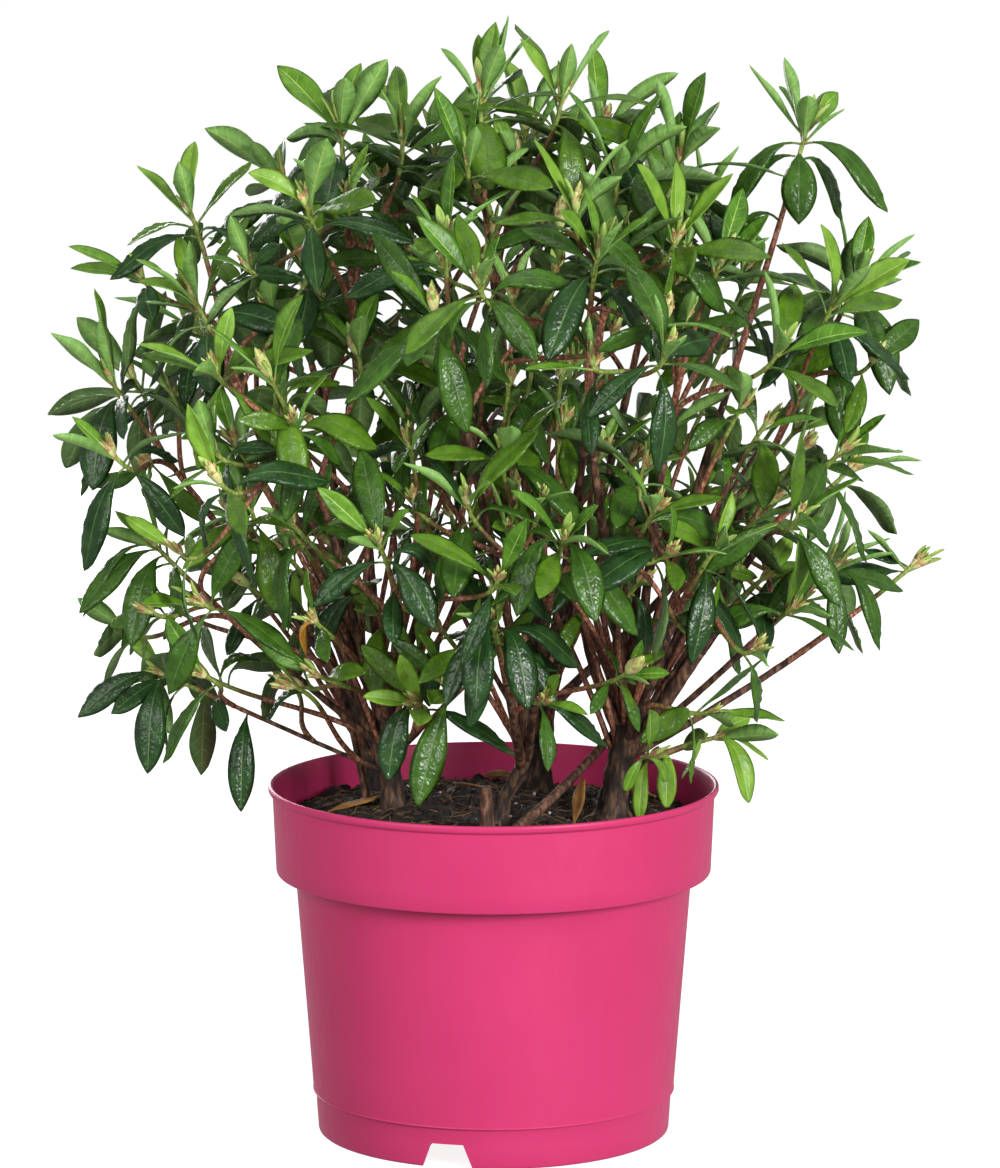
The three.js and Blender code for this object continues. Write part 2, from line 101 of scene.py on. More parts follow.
# One generation of forks: how far their ends spread round the parent's end, how far they fall
# back behind it, where they leave it, the gap kept between ends and to other masses, and their
# thickness where they start
Fork = namedtuple("Fork", "spread fall_back start tip_gap clearance radius", defaults=(1.35,))
SIDE_FORK = Fork(62, (0.15, 0.5), (0.12, 0.6), 27, 7)
FINE_FORK = Fork(36, (0.35, 0.9), (0.3, 0.75), 19, 4, 1.25)
INNER_FORK = Fork(50, (-0.25, 0.5), (0.1, 0.6), 20, 3, 1.4)
CANE_FORK = Fork(0, (0, 0), (0.25, 0.85), 17, 2, 1.45)

Stem = namedtuple("Stem", "foot head radii")
STEMS = {
    "left": Stem((-51, -12), (-55, -12, 217), (5.6, 4.8)),
    "right": Stem((61, -20), (67, -18, 214), (7.4, 6.2)),
    "middle": Stem((23, 48), (27, 52, 224), (6.4, 5.2)),
    "front": Stem((3, -40), (17, -46, 207), (3.8, 2.9)),
    "rear": Stem((-62, 45), (-74, 54, 214), (4, 3.2)),
}

# Limbs: the stem they leave, the share of its height where they leave, the tip of the leading
# shoot, the number of shoots and the turn of the first side shoot about the leading one
Limb = namedtuple("Limb", "name stem at tip shoots turn bare", defaults=(False,))
LIMBS = [
    Limb("upper_left", "left", 1, (-77, 10, 514), 4, 200),
    Limb("left_shoulder", "left", 0.92, (-150, -25, 432), 4, 80),
    Limb("left_front", "left", 0.86, (-109, -100, 401), 3, 250),
    Limb("left_edge", "left", 0.78, (-193, 0, 386), 3, 300),
    Limb("centre_front", "left", 0.68, (-56, -125, 323), 3, 20),
    Limb("left_mid_edge", "left", 0.6, (-170, -25, 306), 4, 60),
    Limb("left_low", "left", 0.36, (-168, 0, 236), 3, 100),
    Limb("low_front_left", "left", 0.5, (-37, -85, 236), 2, 0, True),
    Limb("right_centre_upper", "right", 1, (51, -120, 464), 4, 0),
    Limb("sprig_top_right", "right", 0.97, (157, 0, 513), 2, 0),
    Limb("right_upper", "right", 0.92, (112, -55, 451), 4, 300),
    Limb("right_edge_upper", "right", 0.86, (183, 0, 436), 3, 220),
    Limb("right_edge_mid", "right", 0.8, (174, -40, 356), 3, 180),
    Limb("right_low_front", "right", 0.72, (110, -100, 317), 4, 150),
    Limb("right_low_edge", "right", 0.64, (172, -30, 296), 4, 60),
    Limb("right_outlier", "right", 0.56, (213, 10, 290), 1, 0),
    Limb("low_right", "right", 0.4, (112, -10, 205), 2, 0, True),
    Limb("centre_upper", "front", 1, (-23, -75, 465), 4, 140),
    Limb("right_front", "front", 0.86, (34, -140, 327), 3, 350),
    Limb("front_low", "front", 0.7, (0, -130, 284), 3, 200, True),
    Limb("top_crown", "middle", 1, (-6, -5, 531), 4, 0),
    Limb("top_right", "middle", 0.95, (62, -35, 495), 4, 340),
    Limb("back_top", "middle", 0.9, (-30, 75, 500), 4, 30),
    Limb("back_right_upper", "middle", 0.85, (88, 90, 455), 5, 15),
    Limb("back_centre", "middle", 0.76, (-5, 150, 365), 5, 45),
    Limb("back_right_low", "middle", 0.66, (125, 105, 305), 4, 70),
    Limb("back_left_upper", "rear", 1, (-112, 90, 435), 5, 10),
    Limb("back_left_low", "rear", 0.72, (-130, 105, 300), 4, 40),
]

# Slender canes that fan out from low on each stem: their number, how far their ends lie from its
# head to the side and above it
CANES = {"left": 10, "right": 13, "middle": 8, "front": 4, "rear": 6}
CANE_OUT = (20, 95)
CANE_RISE = (60, 190)

# Forks of the stems and low wood that show from the front: foot, first handle, tip and radii
LOW_WOOD = {
    "fork_right_inner": ((67, -18, 203), (54, -20, 228), (50, -30, 306), (3.8, 1.5)),
    "fork_right_outer": ((66, -18, 196), (88, -24, 226), (134, -46, 292), (4.7, 1.6)),
    "fork_right_upright": ((67, -17, 206), (72, -12, 250), (84, -30, 322), (2.7, 1.3)),
    "fork_left_outer": ((-54, -12, 190), (-70, -6, 214), (-104, -22, 300), (3, 1.4)),
    "fork_left_inner": ((-55, -12, 212), (-46, -14, 250), (-34, -34, 318), (2.9, 1.4)),
    "thin_left": ((-63, 2, 164), (-72, 0, 200), (-98, 6, 268), (1.9, 1.2)),
    "diagonal": ((3, -75, 164), (62, -6, 196), (116, 24, 262), (2.6, 1.3)),
}
LOW_WOOD_SHARE = 0.55
STUB_CURVE = ((-3, -72, 162), (-3, -72, 180), (-4, -72, 191), (-4, -72, 192))
STUB_RADII = (3.5, 2.9)

# Whorls that stand apart from the forks of their limb
EXTRA_TIPS = {
    "left_shoulder": (-152, -14, 474),
    "top_right": (93, -24, 500),
    "upper_left": (-46, -2, 510),
    "top_crown": (34, -12, 531),
    "low_front_left": (-22, -90, 246),
}

# Limbs that are thinner than the rule makes them
SLENDER = {"left_low": 0.42, "left_mid_edge": 0.62, "left_edge": 0.72, "right_low_edge": 0.65}

# Limbs that carry one whorl alone against the sky
LONE_SPRIGS = ("sprig_top_right", "right_outlier")
LONE_FULLNESS = 0.9

# How full the crown is from low to high, at its sides, and low down in front of the stems
FULLNESS = dict(heights=(200, 300, 400, 480), shares=(0.05, 0.25, 0.72, 0.96))
SIDES = dict(out=(100, 170), heights=(280, 420), left=(0.88, 1), right=(0.55, 0.95))
LOW_FRONT = dict(top=300, front=-60, side=70, share=0.8)

# Low on the left, whorls hold fewer young leaves, and their old leaves are given darker greens as
# painted shade on the side away from the key light
LOW_LEFT = dict(top=300, young=0.35, old=0.75, painted_shade=0.35, other="low_front_left")

# The sprig in front of the right stem holds small leaves, so that the stem shows
SMALL_SPRIG = dict(place=(66, -122, 259), reach=20, scale=0.55)

# Where the sky shows between leaves from the front: across, height and radius, each at the middle
# of the crown
SKY = [
    (-129, 228, 10),
    (-102, 211, 11),
    (153, 255, 11),
    (-13, 439, 6),
    (140, 374, 7),
    (119, 430, 6),
    (-151, 282, 6),
    (100, 225, 7),
]

# Deep inside the crown and high up, some of the leaves have fallen
BARE_INSIDE = dict(share=0.7, height=378, left=-20, fallen=0.6)

STEM_NODES, BOUGH_NODES, FOLIAGE_NODES = (
    [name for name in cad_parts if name.startswith(kind)]
    for kind in ("stem_", "bough_", "foliage_")
)


# Numbers and vectors


def seeded(seed):
    """Returns a function that draws the next number between low and high, always in the same order."""
    state = (seed + 1) * 2654435761 % 2**32

    def draw(low, high):
        nonlocal state
        state = (state * 1664525 + 1013904223) % 2**32
        return low + (high - low) * state / 2**32

    return draw


def unit(vector):
    return vector / np.linalg.norm(vector, axis=-1, keepdims=True)


def mix(ends, share):
    return ends[0] + (ends[1] - ends[0]) * share


def way_at(angle, side=EAST, over=NORTH):
    """The direction at an angle in radians, or at several, from one direction towards another."""
    angle = np.asarray(angle)[..., None]
    return side * np.cos(angle) + over * np.sin(angle)


def on_line(points, share):
    """The point at a share of the way along a line of points."""
    place = share * (len(points) - 1)
    low = min(int(place), len(points) - 2)
    return mix(points[low : low + 2], place - low)


def bezier(handles, share):
    """The point of a cubic curve at a share of its run, or its points at several shares."""
    t = np.asarray(share, float)[..., None]
    first, second, third, last = handles
    near = (1 - t) ** 3 * first + 3 * (1 - t) ** 2 * t * second
    return near + 3 * (1 - t) * t**2 * third + t**3 * last


def points_on(handles, rings):
    return bezier(handles, np.arange(rings + 1) / rings)


def cut_in_two(handles, share):
    """The two curves that a cubic curve makes when it is cut at a share of its run."""
    first = handles[:-1] + (handles[1:] - handles[:-1]) * share
    second = first[:-1] + (first[1:] - first[:-1]) * share
    middle = mix(second, share)
    near = np.array([handles[0], first[0], second[0], middle])
    return near, np.array([middle, second[1], first[2], handles[3]])


def tangent(handles, share):
    step = 1e-4
    return unit(bezier(handles, min(share + step, 1)) - bezier(handles, max(share - step, 0)))


def length_of(points):
    return np.linalg.norm(np.diff(points, axis=0), axis=1).sum()


def frame_across(axis):
    """Two directions across an axis."""
    side = unit(np.cross(axis, UP if abs(axis[2]) < 0.9 else EAST))
    return side, np.cross(side, axis)


# The growth rule, as in the part

Shoot = namedtuple("Shoot", "owner curve radii order")
Wood = namedtuple("Wood", "owner curve radii taper")


def end_way(tip):
    """The way that a shoot ends: outwards from the heart of the crown, and turned up."""
    return unit(unit(tip - CROWN_HEART) + UP * END_LIFT)


def bend(start, start_way, tip):
    span = np.linalg.norm(tip - start)
    before = tip - end_way(tip) * span * BEND["end"]
    return np.array([start, start + start_way * span * BEND["start"], before, tip])


def stem_curve(stem):
    low, high = np.array([*stem.foot, SOIL_LEVEL + GAP]), np.array(stem.head, float)
    rise = UP * (high[2] - low[2])
    return np.array([low, low + rise * 0.4, high - rise * 0.3, high])


def limb_curve(limb, draw):
    """One cubic curve from the axis of a stem to the tip of the limb's leading shoot."""
    start = bezier(stem_curve(STEMS[limb.stem]), limb.at)
    tip = np.array(limb.tip, float)
    way = unit(tip - start)
    flat = unit(way * [1, 1, BEND["flatness"]])
    start_way = unit(mix((way, flat), 1 - limb.at) + UP * BEND["lift"])
    curve = bend(start, start_way, tip)
    bow = np.linalg.norm(tip - start) * BEND["bow"]
    for handle in (1, 2):
        curve[handle] += [draw(-bow, bow) for _ in range(3)]
    return curve


def crown_share(point):
    """How far out a point lies in the crown: 1 on the oval that holds the ends of its shoots."""
    shares = np.abs((point - CROWN_MIDDLE) / CROWN_REACH)
    return (shares**CROWN_SQUARENESS).sum() ** (1 / CROWN_SQUARENESS)


def side_shoot(leader, turn, fork, draw):
    """The curve of a twig that leaves its parent and ends on a dome about the parent's tip."""
    tip = leader[-1]
    way = end_way(tip)
    side = unit(np.cross(way, UP))
    angle = math.radians(turn + draw(-SHOOT_WANDER, SHOOT_WANDER))
    reach = fork.spread * draw(0.85, 1.15)
    end = tip + way_at(angle, side, np.cross(side, way)) * reach
    end = end - way * reach * draw(*fork.fall_back)
    leaving = draw(*fork.start)
    start = on_line(leader, leaving)
    along = unit(on_line(leader, leaving + 0.1) - start)
    return bend(start, unit(unit(end - start) + along), end)


def is_clear_of_pot(points):
    out = np.hypot(points[:, 0], points[:, 1])
    over = points[:, 2] > POT_HEIGHT + POT_CLEARANCE
    return bool((over | (out > RIM_RADIUS + POT_CLEARANCE)).all())


class Bones:
    """Straight lengths of wood and twig, with their owners, that shoots and leaves keep clear of."""

    def __init__(self):
        self.rows, self.owners, self.tips = [], [], []

    def add(self, owner, points, radii, taper=1):
        for i in range(1, len(points)):
            radius = mix(radii, ((i - 1) / (len(points) - 1)) ** taper)
            self.rows.append([*points[i - 1], *points[i], radius])
            self.owners.append(owner)
        self.table = np.array(self.rows)
        self.owner_table = np.array(self.owners)

    def add_twig(self, owner, points, radii=(TIP_RADIUS, TIP_RADIUS)):
        self.add(owner, points, radii)
        self.tips.append(points[-1])

    def distances(self, points):
        """How far each point lies from each length."""
        start, end, radius = self.table[:, :3], self.table[:, 3:6], self.table[:, 6]
        line = end - start
        away = points[:, None] - start
        share = np.clip((away * line).sum(2) / (line * line).sum(1), 0, 1)
        return np.linalg.norm(away - share[..., None] * line, axis=2) - radius

    def has_room(self, owner, curve, leader, fork):
        """Whether a shoot stays in the crown and clear of the pot, of wood and of other masses."""
        end = curve[3]
        if crown_share(end) > max(1, crown_share(leader[-1])):
            return False
        if np.linalg.norm(np.array(self.tips) - end, axis=1).min() < fork.tip_gap:
            return False
        if fork is not SIDE_FORK and end[2] < LOWEST_FINE_TIP:
            return False
        line = points_on(curve, SIDE_RINGS)
        points = np.array([on_line(line, tenth / 10) for tenth in range(3, 11)])
        others = self.owner_table != owner
        return is_clear_of_pot(points) and self.distances(points)[:, others].min() > fork.clearance


def grow():
    """Stems, boughs and shoots by the part's rule, and then two finer generations of twigs."""
    bones = Bones()
    stems, boughs, masses = [], [], []
    for name, stem in STEMS.items():
        stems.append(Wood(name, stem_curve(stem), stem.radii, 1))
        bones.add(name, points_on(stems[-1].curve, 6), stem.radii)
    for number, limb in enumerate(LIMBS):
        draw = seeded(number)
        rest = limb_curve(limb, draw)
        root_radius = BOUGH["radius"] + BOUGH["radius_per_shoot"] * limb.shoots
        root_radius *= SLENDER.get(limb.name, 1)
        leader = points_on(rest, LEADER_RINGS + 1)
        if not limb.bare:
            near, rest = cut_in_two(rest, BOUGH["share"])
            ends = (root_radius, min(root_radius, BOUGH["end_radius"]))
            radii = (root_radius, mix(ends, BOUGH["share"] ** BOUGH["taper"]))
            root_radius = radii[1]
            boughs.append(Wood(limb.name, near, radii, BOUGH["taper"]))
            bones.add(limb.name, points_on(near, 4), radii, BOUGH["taper"])
            leader = points_on(rest, LEADER_RINGS)
            leader[0] += tangent(rest, 0) * GAP
        masses.append((limb, draw, leader, [Shoot(limb.name, rest, (root_radius, TIP_RADIUS), 0)]))
    for limb, _, leader, (first,) in masses:
        bones.add_twig(limb.name, leader, first.radii)
    for limb, draw, leader, shoots in masses:
        if limb.name in LONE_SPRIGS:
            continue
        for k in range(limb.shoots - 1):
            turn = limb.turn + 360 / max(2, limb.shoots - 1) * k
            add_fork(bones, limb.name, leader, turn, SIDE_FORK, 1, draw, shoots)
        if limb.name in EXTRA_TIPS:
            start = on_line(leader, 0.3)
            along = unit(on_line(leader, 0.4) - start)
            curve = bend(start, along, np.array(EXTRA_TIPS[limb.name]))
            add_shoot(bones, limb.name, curve, SIDE_FORK, 1, shoots)
    all_shoots = [shoot for *_, shoots in masses for shoot in shoots]
    low_wood = grow_low_wood(bones, all_shoots)
    grow_canes(bones, all_shoots)
    grow_finer(bones, boughs, all_shoots)
    return stems, boughs + low_wood, all_shoots, bones


def add_shoot(bones, owner, curve, fork, order, shoots):
    shoots.append(Shoot(owner, curve, (fork.radius, TIP_RADIUS), order))
    bones.add_twig(owner, points_on(curve, SIDE_RINGS))


def add_fork(bones, owner, leader, turn, fork, order, draw, shoots):
    for attempt in range(SHOOT_TRIES):
        curve = side_shoot(leader, turn + SHOOT_TURN * attempt, fork, draw)
        if bones.has_room(owner, curve, leader, fork):
            add_shoot(bones, owner, curve, fork, order, shoots)
            return


def fullness(point):
    """How full the crown is at a place: open near the pot and at the sides, and dense above."""
    x, y, z = point
    if z < LOW_FRONT["top"] and y < LOW_FRONT["front"] and abs(x) < LOW_FRONT["side"]:
        return LOW_FRONT["share"]
    by_height = np.interp(z, FULLNESS["heights"], FULLNESS["shares"])
    at_side = np.interp(z, SIDES["heights"], SIDES["left" if x < 0 else "right"])
    return float(by_height * np.interp(abs(x), SIDES["out"], (1, at_side)))


def grow_low_wood(bones, shoots):
    """Forks and low branches that show from the front, each a bough with a shoot at its end."""
    made = []
    for name, (*handles, radii) in LOW_WOOD.items():
        foot, handle, tip = np.array(handles, float)
        before = tip - end_way(tip) * np.linalg.norm(tip - handle) * BEND["end"]
        near, rest = cut_in_two(np.array([foot, handle, before, tip]), LOW_WOOD_SHARE)
        root_radius = mix(radii, LOW_WOOD_SHARE)
        made.append(Wood(name, near, (radii[0], root_radius), 1))
        bones.add(name, points_on(near, 4), (root_radius, root_radius))
        shoots.append(Shoot(name, rest, (root_radius, TIP_RADIUS), 2))
        bones.add_twig(name, points_on(rest, LEADER_RINGS))
    return made


def grow_canes(bones, shoots):
    """Slender canes that leave the stems low down and run up, bare, to whorls in the crown."""
    draw = seeded(201)
    for name, stem in STEMS.items():
        line = points_on(stem_curve(stem), 6)
        for k in range(CANES[name]):
            for attempt in range(SHOOT_TRIES):
                bearing = FULL_TURN * (k + draw(-0.3, 0.3)) / CANES[name]
                way = way_at(bearing) * draw(*CANE_OUT) + UP * draw(*CANE_RISE)
                start = on_line(line, draw(*CANE_FORK.start))
                curve = bend(start, unit(unit(way) + UP * 0.3), line[-1] + way)
                if bones.has_room(name, curve, line, CANE_FORK):
                    add_shoot(bones, name, curve, CANE_FORK, 3, shoots)
                    break


def grow_finer(bones, boughs, shoots):
    """Twigs that leave the boughs inside the crown, and twigs that leave every shoot."""
    draw = seeded(200)
    for bough in boughs:
        line = points_on(bough.curve, 6)
        for k in range(2):
            turn, wish = 180 * k + draw(0, 90), draw(0, 1)
            if wish < fullness(line[-1] + UP * 60):
                add_fork(bones, bough.owner, line, turn, INNER_FORK, 2, draw, shoots)
    for parent in list(shoots):
        line = points_on(parent.curve, 6)
        if parent.order < 3 and parent.owner not in LONE_SPRIGS:
            turn, wish = draw(0, 360), draw(0, 1)
            if wish < 0.85 * fullness(line[-1]):
                add_fork(bones, parent.owner, line, turn, FINE_FORK, 3, draw, shoots)


# Meshes


def grid_faces(rows, columns, is_round=False):
    """Triangles of a grid of points, row after row, with the last column joined to the first."""
    row, column = np.meshgrid(np.arange(rows - 1), np.arange(columns - (not is_round)), indexing="ij")
    here = row * columns + column
    beside = row * columns + (column + 1) % columns
    quads = np.stack([here, beside, beside + columns, here + columns], -1).reshape(-1, 4)
    return np.concatenate([quads[:, [0, 1, 2]], quads[:, [0, 2, 3]]])


def closed_faces(rows, columns):
    """Triangles of a round body: rings of points, and then the middles of its two ends."""
    around = np.arange(columns)
    after = (around + 1) % columns
    count = rows * columns
    last = count - columns
    first_end = np.stack([np.full(columns, count), after, around], 1)
    last_end = np.stack([np.full(columns, count + 1), last + around, last + after], 1)
    return np.concatenate([grid_faces(rows, columns, True), first_end, last_end])


def tube(points, radii, sides, relief=None):
    """Points and faces of a closed round limb. relief(angles, along) gives shares of the radius."""
    steps = np.linalg.norm(np.diff(points, axis=0), axis=1)
    along = np.concatenate([[0], np.cumsum(steps)])
    ways = unit(np.gradient(points, axis=0))
    side, _ = frame_across(ways[0])
    angles = np.arange(sides) * FULL_TURN / sides
    rings = []
    for way in ways:
        side = unit(side - way * (side @ way))
        rings.append(way_at(angles, side, np.cross(way, side)))
    size = np.asarray(radii)[:, None] * np.ones(sides)
    if relief:
        size = size * relief(angles[None, :], along[:, None])
    rings = points[:, None] + np.array(rings) * size[..., None]
    return np.concatenate([rings.reshape(-1, 3), points[[0, -1]]]), closed_faces(len(points), sides)


def lathe(profile, steps):
    """Points and faces of a profile of radii and heights that starts and ends on the axis."""
    radius, height = np.array(profile, float).T[..., None, None]
    rings = radius[1:-1] * way_at(np.arange(steps) * FULL_TURN / steps) + height[1:-1] * UP
    poles = height[[0, -1], 0] * UP
    return np.concatenate([rings.reshape(-1, 3), poles]), closed_faces(len(rings), steps)


def prism(outline, start, end, angle):
    """An upright outline of (across, height) points, drawn from one radius to another."""
    rows = np.array([[(radius, x, z) for x, z in outline] for radius in (start, end)], float)
    way, count = way_at(angle), len(outline)
    ends = np.arange(1, count - 1)
    near = np.stack([0 * ends, ends + 1, ends], 1)
    faces = np.concatenate([grid_faces(2, count, True), near, near[:, ::-1] + count])
    return rows.reshape(-1, 3) @ [way, np.cross(UP, way), UP], faces


def add_object(name, data):
    made = bpy.data.objects.new(name, data)
    bpy.context.scene.collection.objects.link(made)
    return made


def add_mesh(name, points, faces, looks, look_index=0):
    mesh = bpy.data.meshes.new(name)
    mesh.vertices.add(len(points))
    mesh.vertices.foreach_set("co", (points * MM).astype(np.float32).ravel())
    mesh.loops.add(faces.size)
    mesh.loops.foreach_set("vertex_index", faces.astype(np.int32).ravel())
    mesh.polygons.add(len(faces))
    mesh.polygons.foreach_set("loop_start", np.arange(0, faces.size, 3, dtype=np.int32))
    index = np.broadcast_to(look_index, len(faces)).astype(np.int32)
    mesh.polygons.foreach_set("material_index", index)
    mesh.polygons.foreach_set("use_smooth", np.ones(len(faces), bool))
    for look in looks:
        mesh.materials.append(look)
    mesh.update(calc_edges=True)
    return add_object(name, mesh)


def add_piece(name, points, faces, looks, slot, nodes, look_index=0):
    piece = add_mesh(name, points, faces, looks, look_index)
    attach(piece, "root")
    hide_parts(*nodes)


class Heap:
    """Small meshes of one kind, joined into pieces that each have a bounded number of faces."""

    def __init__(self, name, looks, slot, nodes):
        self.name, self.looks, self.slot, self.nodes = name, looks, slot, nodes
        self.parts = []

    def add(self, points, faces, look=0):
        self.parts.append((points, faces, np.broadcast_to(look, len(faces))))

    def build(self):
        groups, total = [[]], 0
        for part in self.parts:
            total += len(part[1])
            if total > MOST_FACES:
                groups.append([])
                total = len(part[1])
            groups[-1].append(part)
        for number, parts in enumerate(groups, 1):
            points, faces, looks = zip(*parts)
            starts = np.cumsum([0, *map(len, points)])
            faces = np.concatenate([each + start for each, start in zip(faces, starts)])
            points, looks = np.concatenate(points), np.concatenate(looks)
            name = self.name if len(groups) == 1 else f"{self.name}_{number}"
            add_piece(name, points, faces, self.looks, self.slot, self.nodes, looks)


# Materials


def colour(red, green, blue):
    """A colour from its 8-bit display values."""
    share = np.array([red, green, blue]) / 255
    linear = np.where(share <= 0.04045, share / 12.92, ((share + 0.055) / 1.055) ** 2.4)
    return (*linear, 1)


def set_values(node, **values):
    """Sets sockets and settings of a node by name, with _ for the spaces of a socket's name."""
    for name, value in values.items():
        socket = name.replace("_", " ")
        if socket in node.inputs:
            node.inputs[socket].default_value = value
        else:
            setattr(node, name, value)
    return node


class Look:
    """A material, with patterns in the object's own space. Their sizes are in millimetres."""

    def __init__(self, name, roughness, **sockets):
        self.material = bpy.data.materials.new(name)
        self.material.use_nodes = True
        self.tree = self.material.node_tree
        self.shader = self.tree.nodes["Principled BSDF"]
        set_values(self.shader, Roughness=roughness, **sockets)

    def add(self, kind, **values):
        return set_values(self.tree.nodes.new("ShaderNode" + kind), **values)

    def link(self, source, node, socket):
        self.tree.links.new(source, node.inputs[socket])

    def noise(self, size, detail=4, stretch=(1, 1, 1)):
        turn = self.add("Mapping", Scale=stretch)
        spots = self.add("TexNoise", Scale=1 / (size * MM), Detail=detail)
        self.link(self.add("TexCoord").outputs["Object"], turn, "Vector")
        self.link(turn.outputs["Vector"], spots, "Vector")
        return spots.outputs["Fac"]

    def cells(self, size):
        """The nearness to the walls of cells."""
        cells = self.add("TexVoronoi", feature="DISTANCE_TO_EDGE", Scale=1 / (size * MM))
        self.link(self.add("TexCoord").outputs["Object"], cells, "Vector")
        return cells.outputs["Distance"]

    def tint(self, source, *colours, start=0.3, end=0.7):
        """Base colour: the given colours in turn, from the low to the high values of a pattern."""
        node = self.add("ValToRGB")
        elements = node.color_ramp.elements
        while len(elements) < len(colours):
            elements.new(0.5)
        for element, place, each in zip(elements, np.linspace(start, end, len(colours)), colours):
            element.position = place
            element.color = colour(*each)
        self.link(source, node, "Fac")
        self.link(node.outputs["Color"], self.shader, "Base Color")

    def vary_roughness(self, source, low, high):
        node = self.add("MapRange", From_Min=0.3, From_Max=0.7, To_Min=low, To_Max=high)
        self.link(source, node, "Value")
        self.link(node.outputs["Result"], self.shader, "Roughness")

    def bump(self, *patterns):
        """Chains bumps of patterns, each with its strength and its height."""
        before = None
        for source, strength, height in patterns:
            node = self.add("Bump", Strength=strength, Distance=height * MM)
            self.link(source, node, "Height")
            if before:
                self.link(before.outputs["Normal"], node, "Normal")
            before = node
        self.link(before.outputs["Normal"], self.shader, "Normal")


def pot_material():
    look = Look("pot_plastic", 0.4, Specular_IOR_Level=0.3)
    look.tint(look.noise(60, 2), (184, 45, 95), (190, 49, 100))
    grain = look.noise(3.5, 3, (1, 1, 0.25))
    look.vary_roughness(grain, 0.36, 0.46)
    look.bump((grain, 0.1, 0.12), (look.noise(0.8, 2), 0.08, 0.05))
    return look.material


def peat_material():
    look = Look("peat", 0.95)
    look.tint(look.noise(6, 6), (10, 7, 4), (26, 18, 11), (45, 32, 22))
    look.bump((look.noise(2.2, 6), 0.9, 0.8))
    return look.material


def plain_stuff(name, roughness, size, *colours):
    """A dry material in mottled colours, with a fine grain."""
    look = Look(name, roughness)
    look.tint(look.noise(size), *colours)
    look.bump((look.noise(size / 3, 3), 0.5, 0.2))
    return look.material


OLD_BARK = ((16, 10, 7), (48, 31, 21), (100, 73, 52))
YOUNG_BARK = ((32, 19, 13), (74, 45, 31), (126, 90, 66))


def bark_material(name, colours, size):
    look = Look(name, 0.85)
    grain = look.noise(size, 6, (1, 1, 0.3))
    look.tint(grain, *colours, start=0.34, end=0.66)
    look.vary_roughness(grain, 0.9, 0.7)
    look.bump((look.noise(size * 0.6, 5, (1, 1, 0.22)), 0.9, 0.7))
    return look.material


def twig_material(name, *colours):
    look = Look(name, 0.6)
    look.tint(look.noise(1.3, 5, (1, 1, 0.5)), *colours, start=0.4, end=0.68)
    look.bump((look.noise(0.9, 3, (1, 1, 0.4)), 0.5, 0.25))
    return look.material


def leaf_material(name, roughness, rugosity, dark, light):
    """Skin of a blade: mottled green with the fine net of veins as bumps."""
    look = Look(name, roughness, Specular_IOR_Level=0.3)
    look.tint(look.noise(9, 3), dark, light)
    look.vary_roughness(look.noise(2.5, 3), roughness - 0.05, roughness + 0.09)
    look.bump((look.cells(2.8), rugosity, 0.7), (look.noise(1.3, 2), rugosity / 3, 0.2))
    return look.material


# Pot and soil

HOLE_SIDES = 24
BOSS_SIDES = 48
SHARP_EDGE = 32


def above(height, *points):
    """Points of a section from their radii and from how far they lie above a height."""
    return [(radius, height + rise) for radius, rise in points]


def slope(start, end, count):
    """Points at even steps from one point of a section to another, less the first."""
    return [tuple(mix(pair, k / count) for pair in zip(start, end)) for k in range(1, count + 1)]


def pot_profile():
    """The pot's section from the middle of the underside, out and up to the lip and back inside."""
    lip, roll = POT_HEIGHT - 4.6, 1.15
    edge, top = RIM_RADIUS - roll, POT_HEIGHT - roll
    return [
        *above(FLOOR_HEIGHT, (0, 0), (87.4, 0), (88, -0.6)),
        *above(0, (87.6, 0.5), (88, 0), (89.2, 0), (89.8, 0.5), (90.1, 1.4), (90.75, 11)),
        *above(SEAM_HEIGHT, (91.3, -0.9), (91.45, -0.5), (91.6, -0.2), (92.4, 0)),
        *above(SEAM_HEIGHT, (92.9, 0.12), (92.95, 0.3), (92.62, 0.8)),
        *slope((92.6, SEAM_HEIGHT + 1.2), (101.3, COLLAR_FOOT - 1.4), 8),
        *above(COLLAR_FOOT, (101.6, -0.4), (102.4, -0.2), (109.9, -0.2), (110.8, 0.1), (111.15, 0.9)),
        *slope((111.15, COLLAR_FOOT + 0.9), (112.9, lip), 5),
        *above(lip, (113.5, 0.35), (114.5, 1), (RIM_RADIUS, 1.9)),
        *[(edge + roll * math.cos(a), top + roll * math.sin(a)) for a in np.linspace(0, math.pi, 9)],
        (RIM_RADIUS - 2.6, POT_HEIGHT - 2),
        (111.9, 170),
        *above(WALL, (109.3, COLLAR_FOOT), (99.6, COLLAR_FOOT), (88.4, FLOOR_HEIGHT), (0, FLOOR_HEIGHT)),
    ]


def outline_of(low_width, high_width, low, high):
    """An upright outline with four corners."""
    return [(-low_width / 2, low), (low_width / 2, low), (high_width / 2, high), (-high_width / 2, high)]


def bearings(count, shift=0):
    """Even bearings round the pot, from that of the first notch."""
    return np.radians(NOTCHES["first"] + 360 / count * (np.arange(count) + shift))


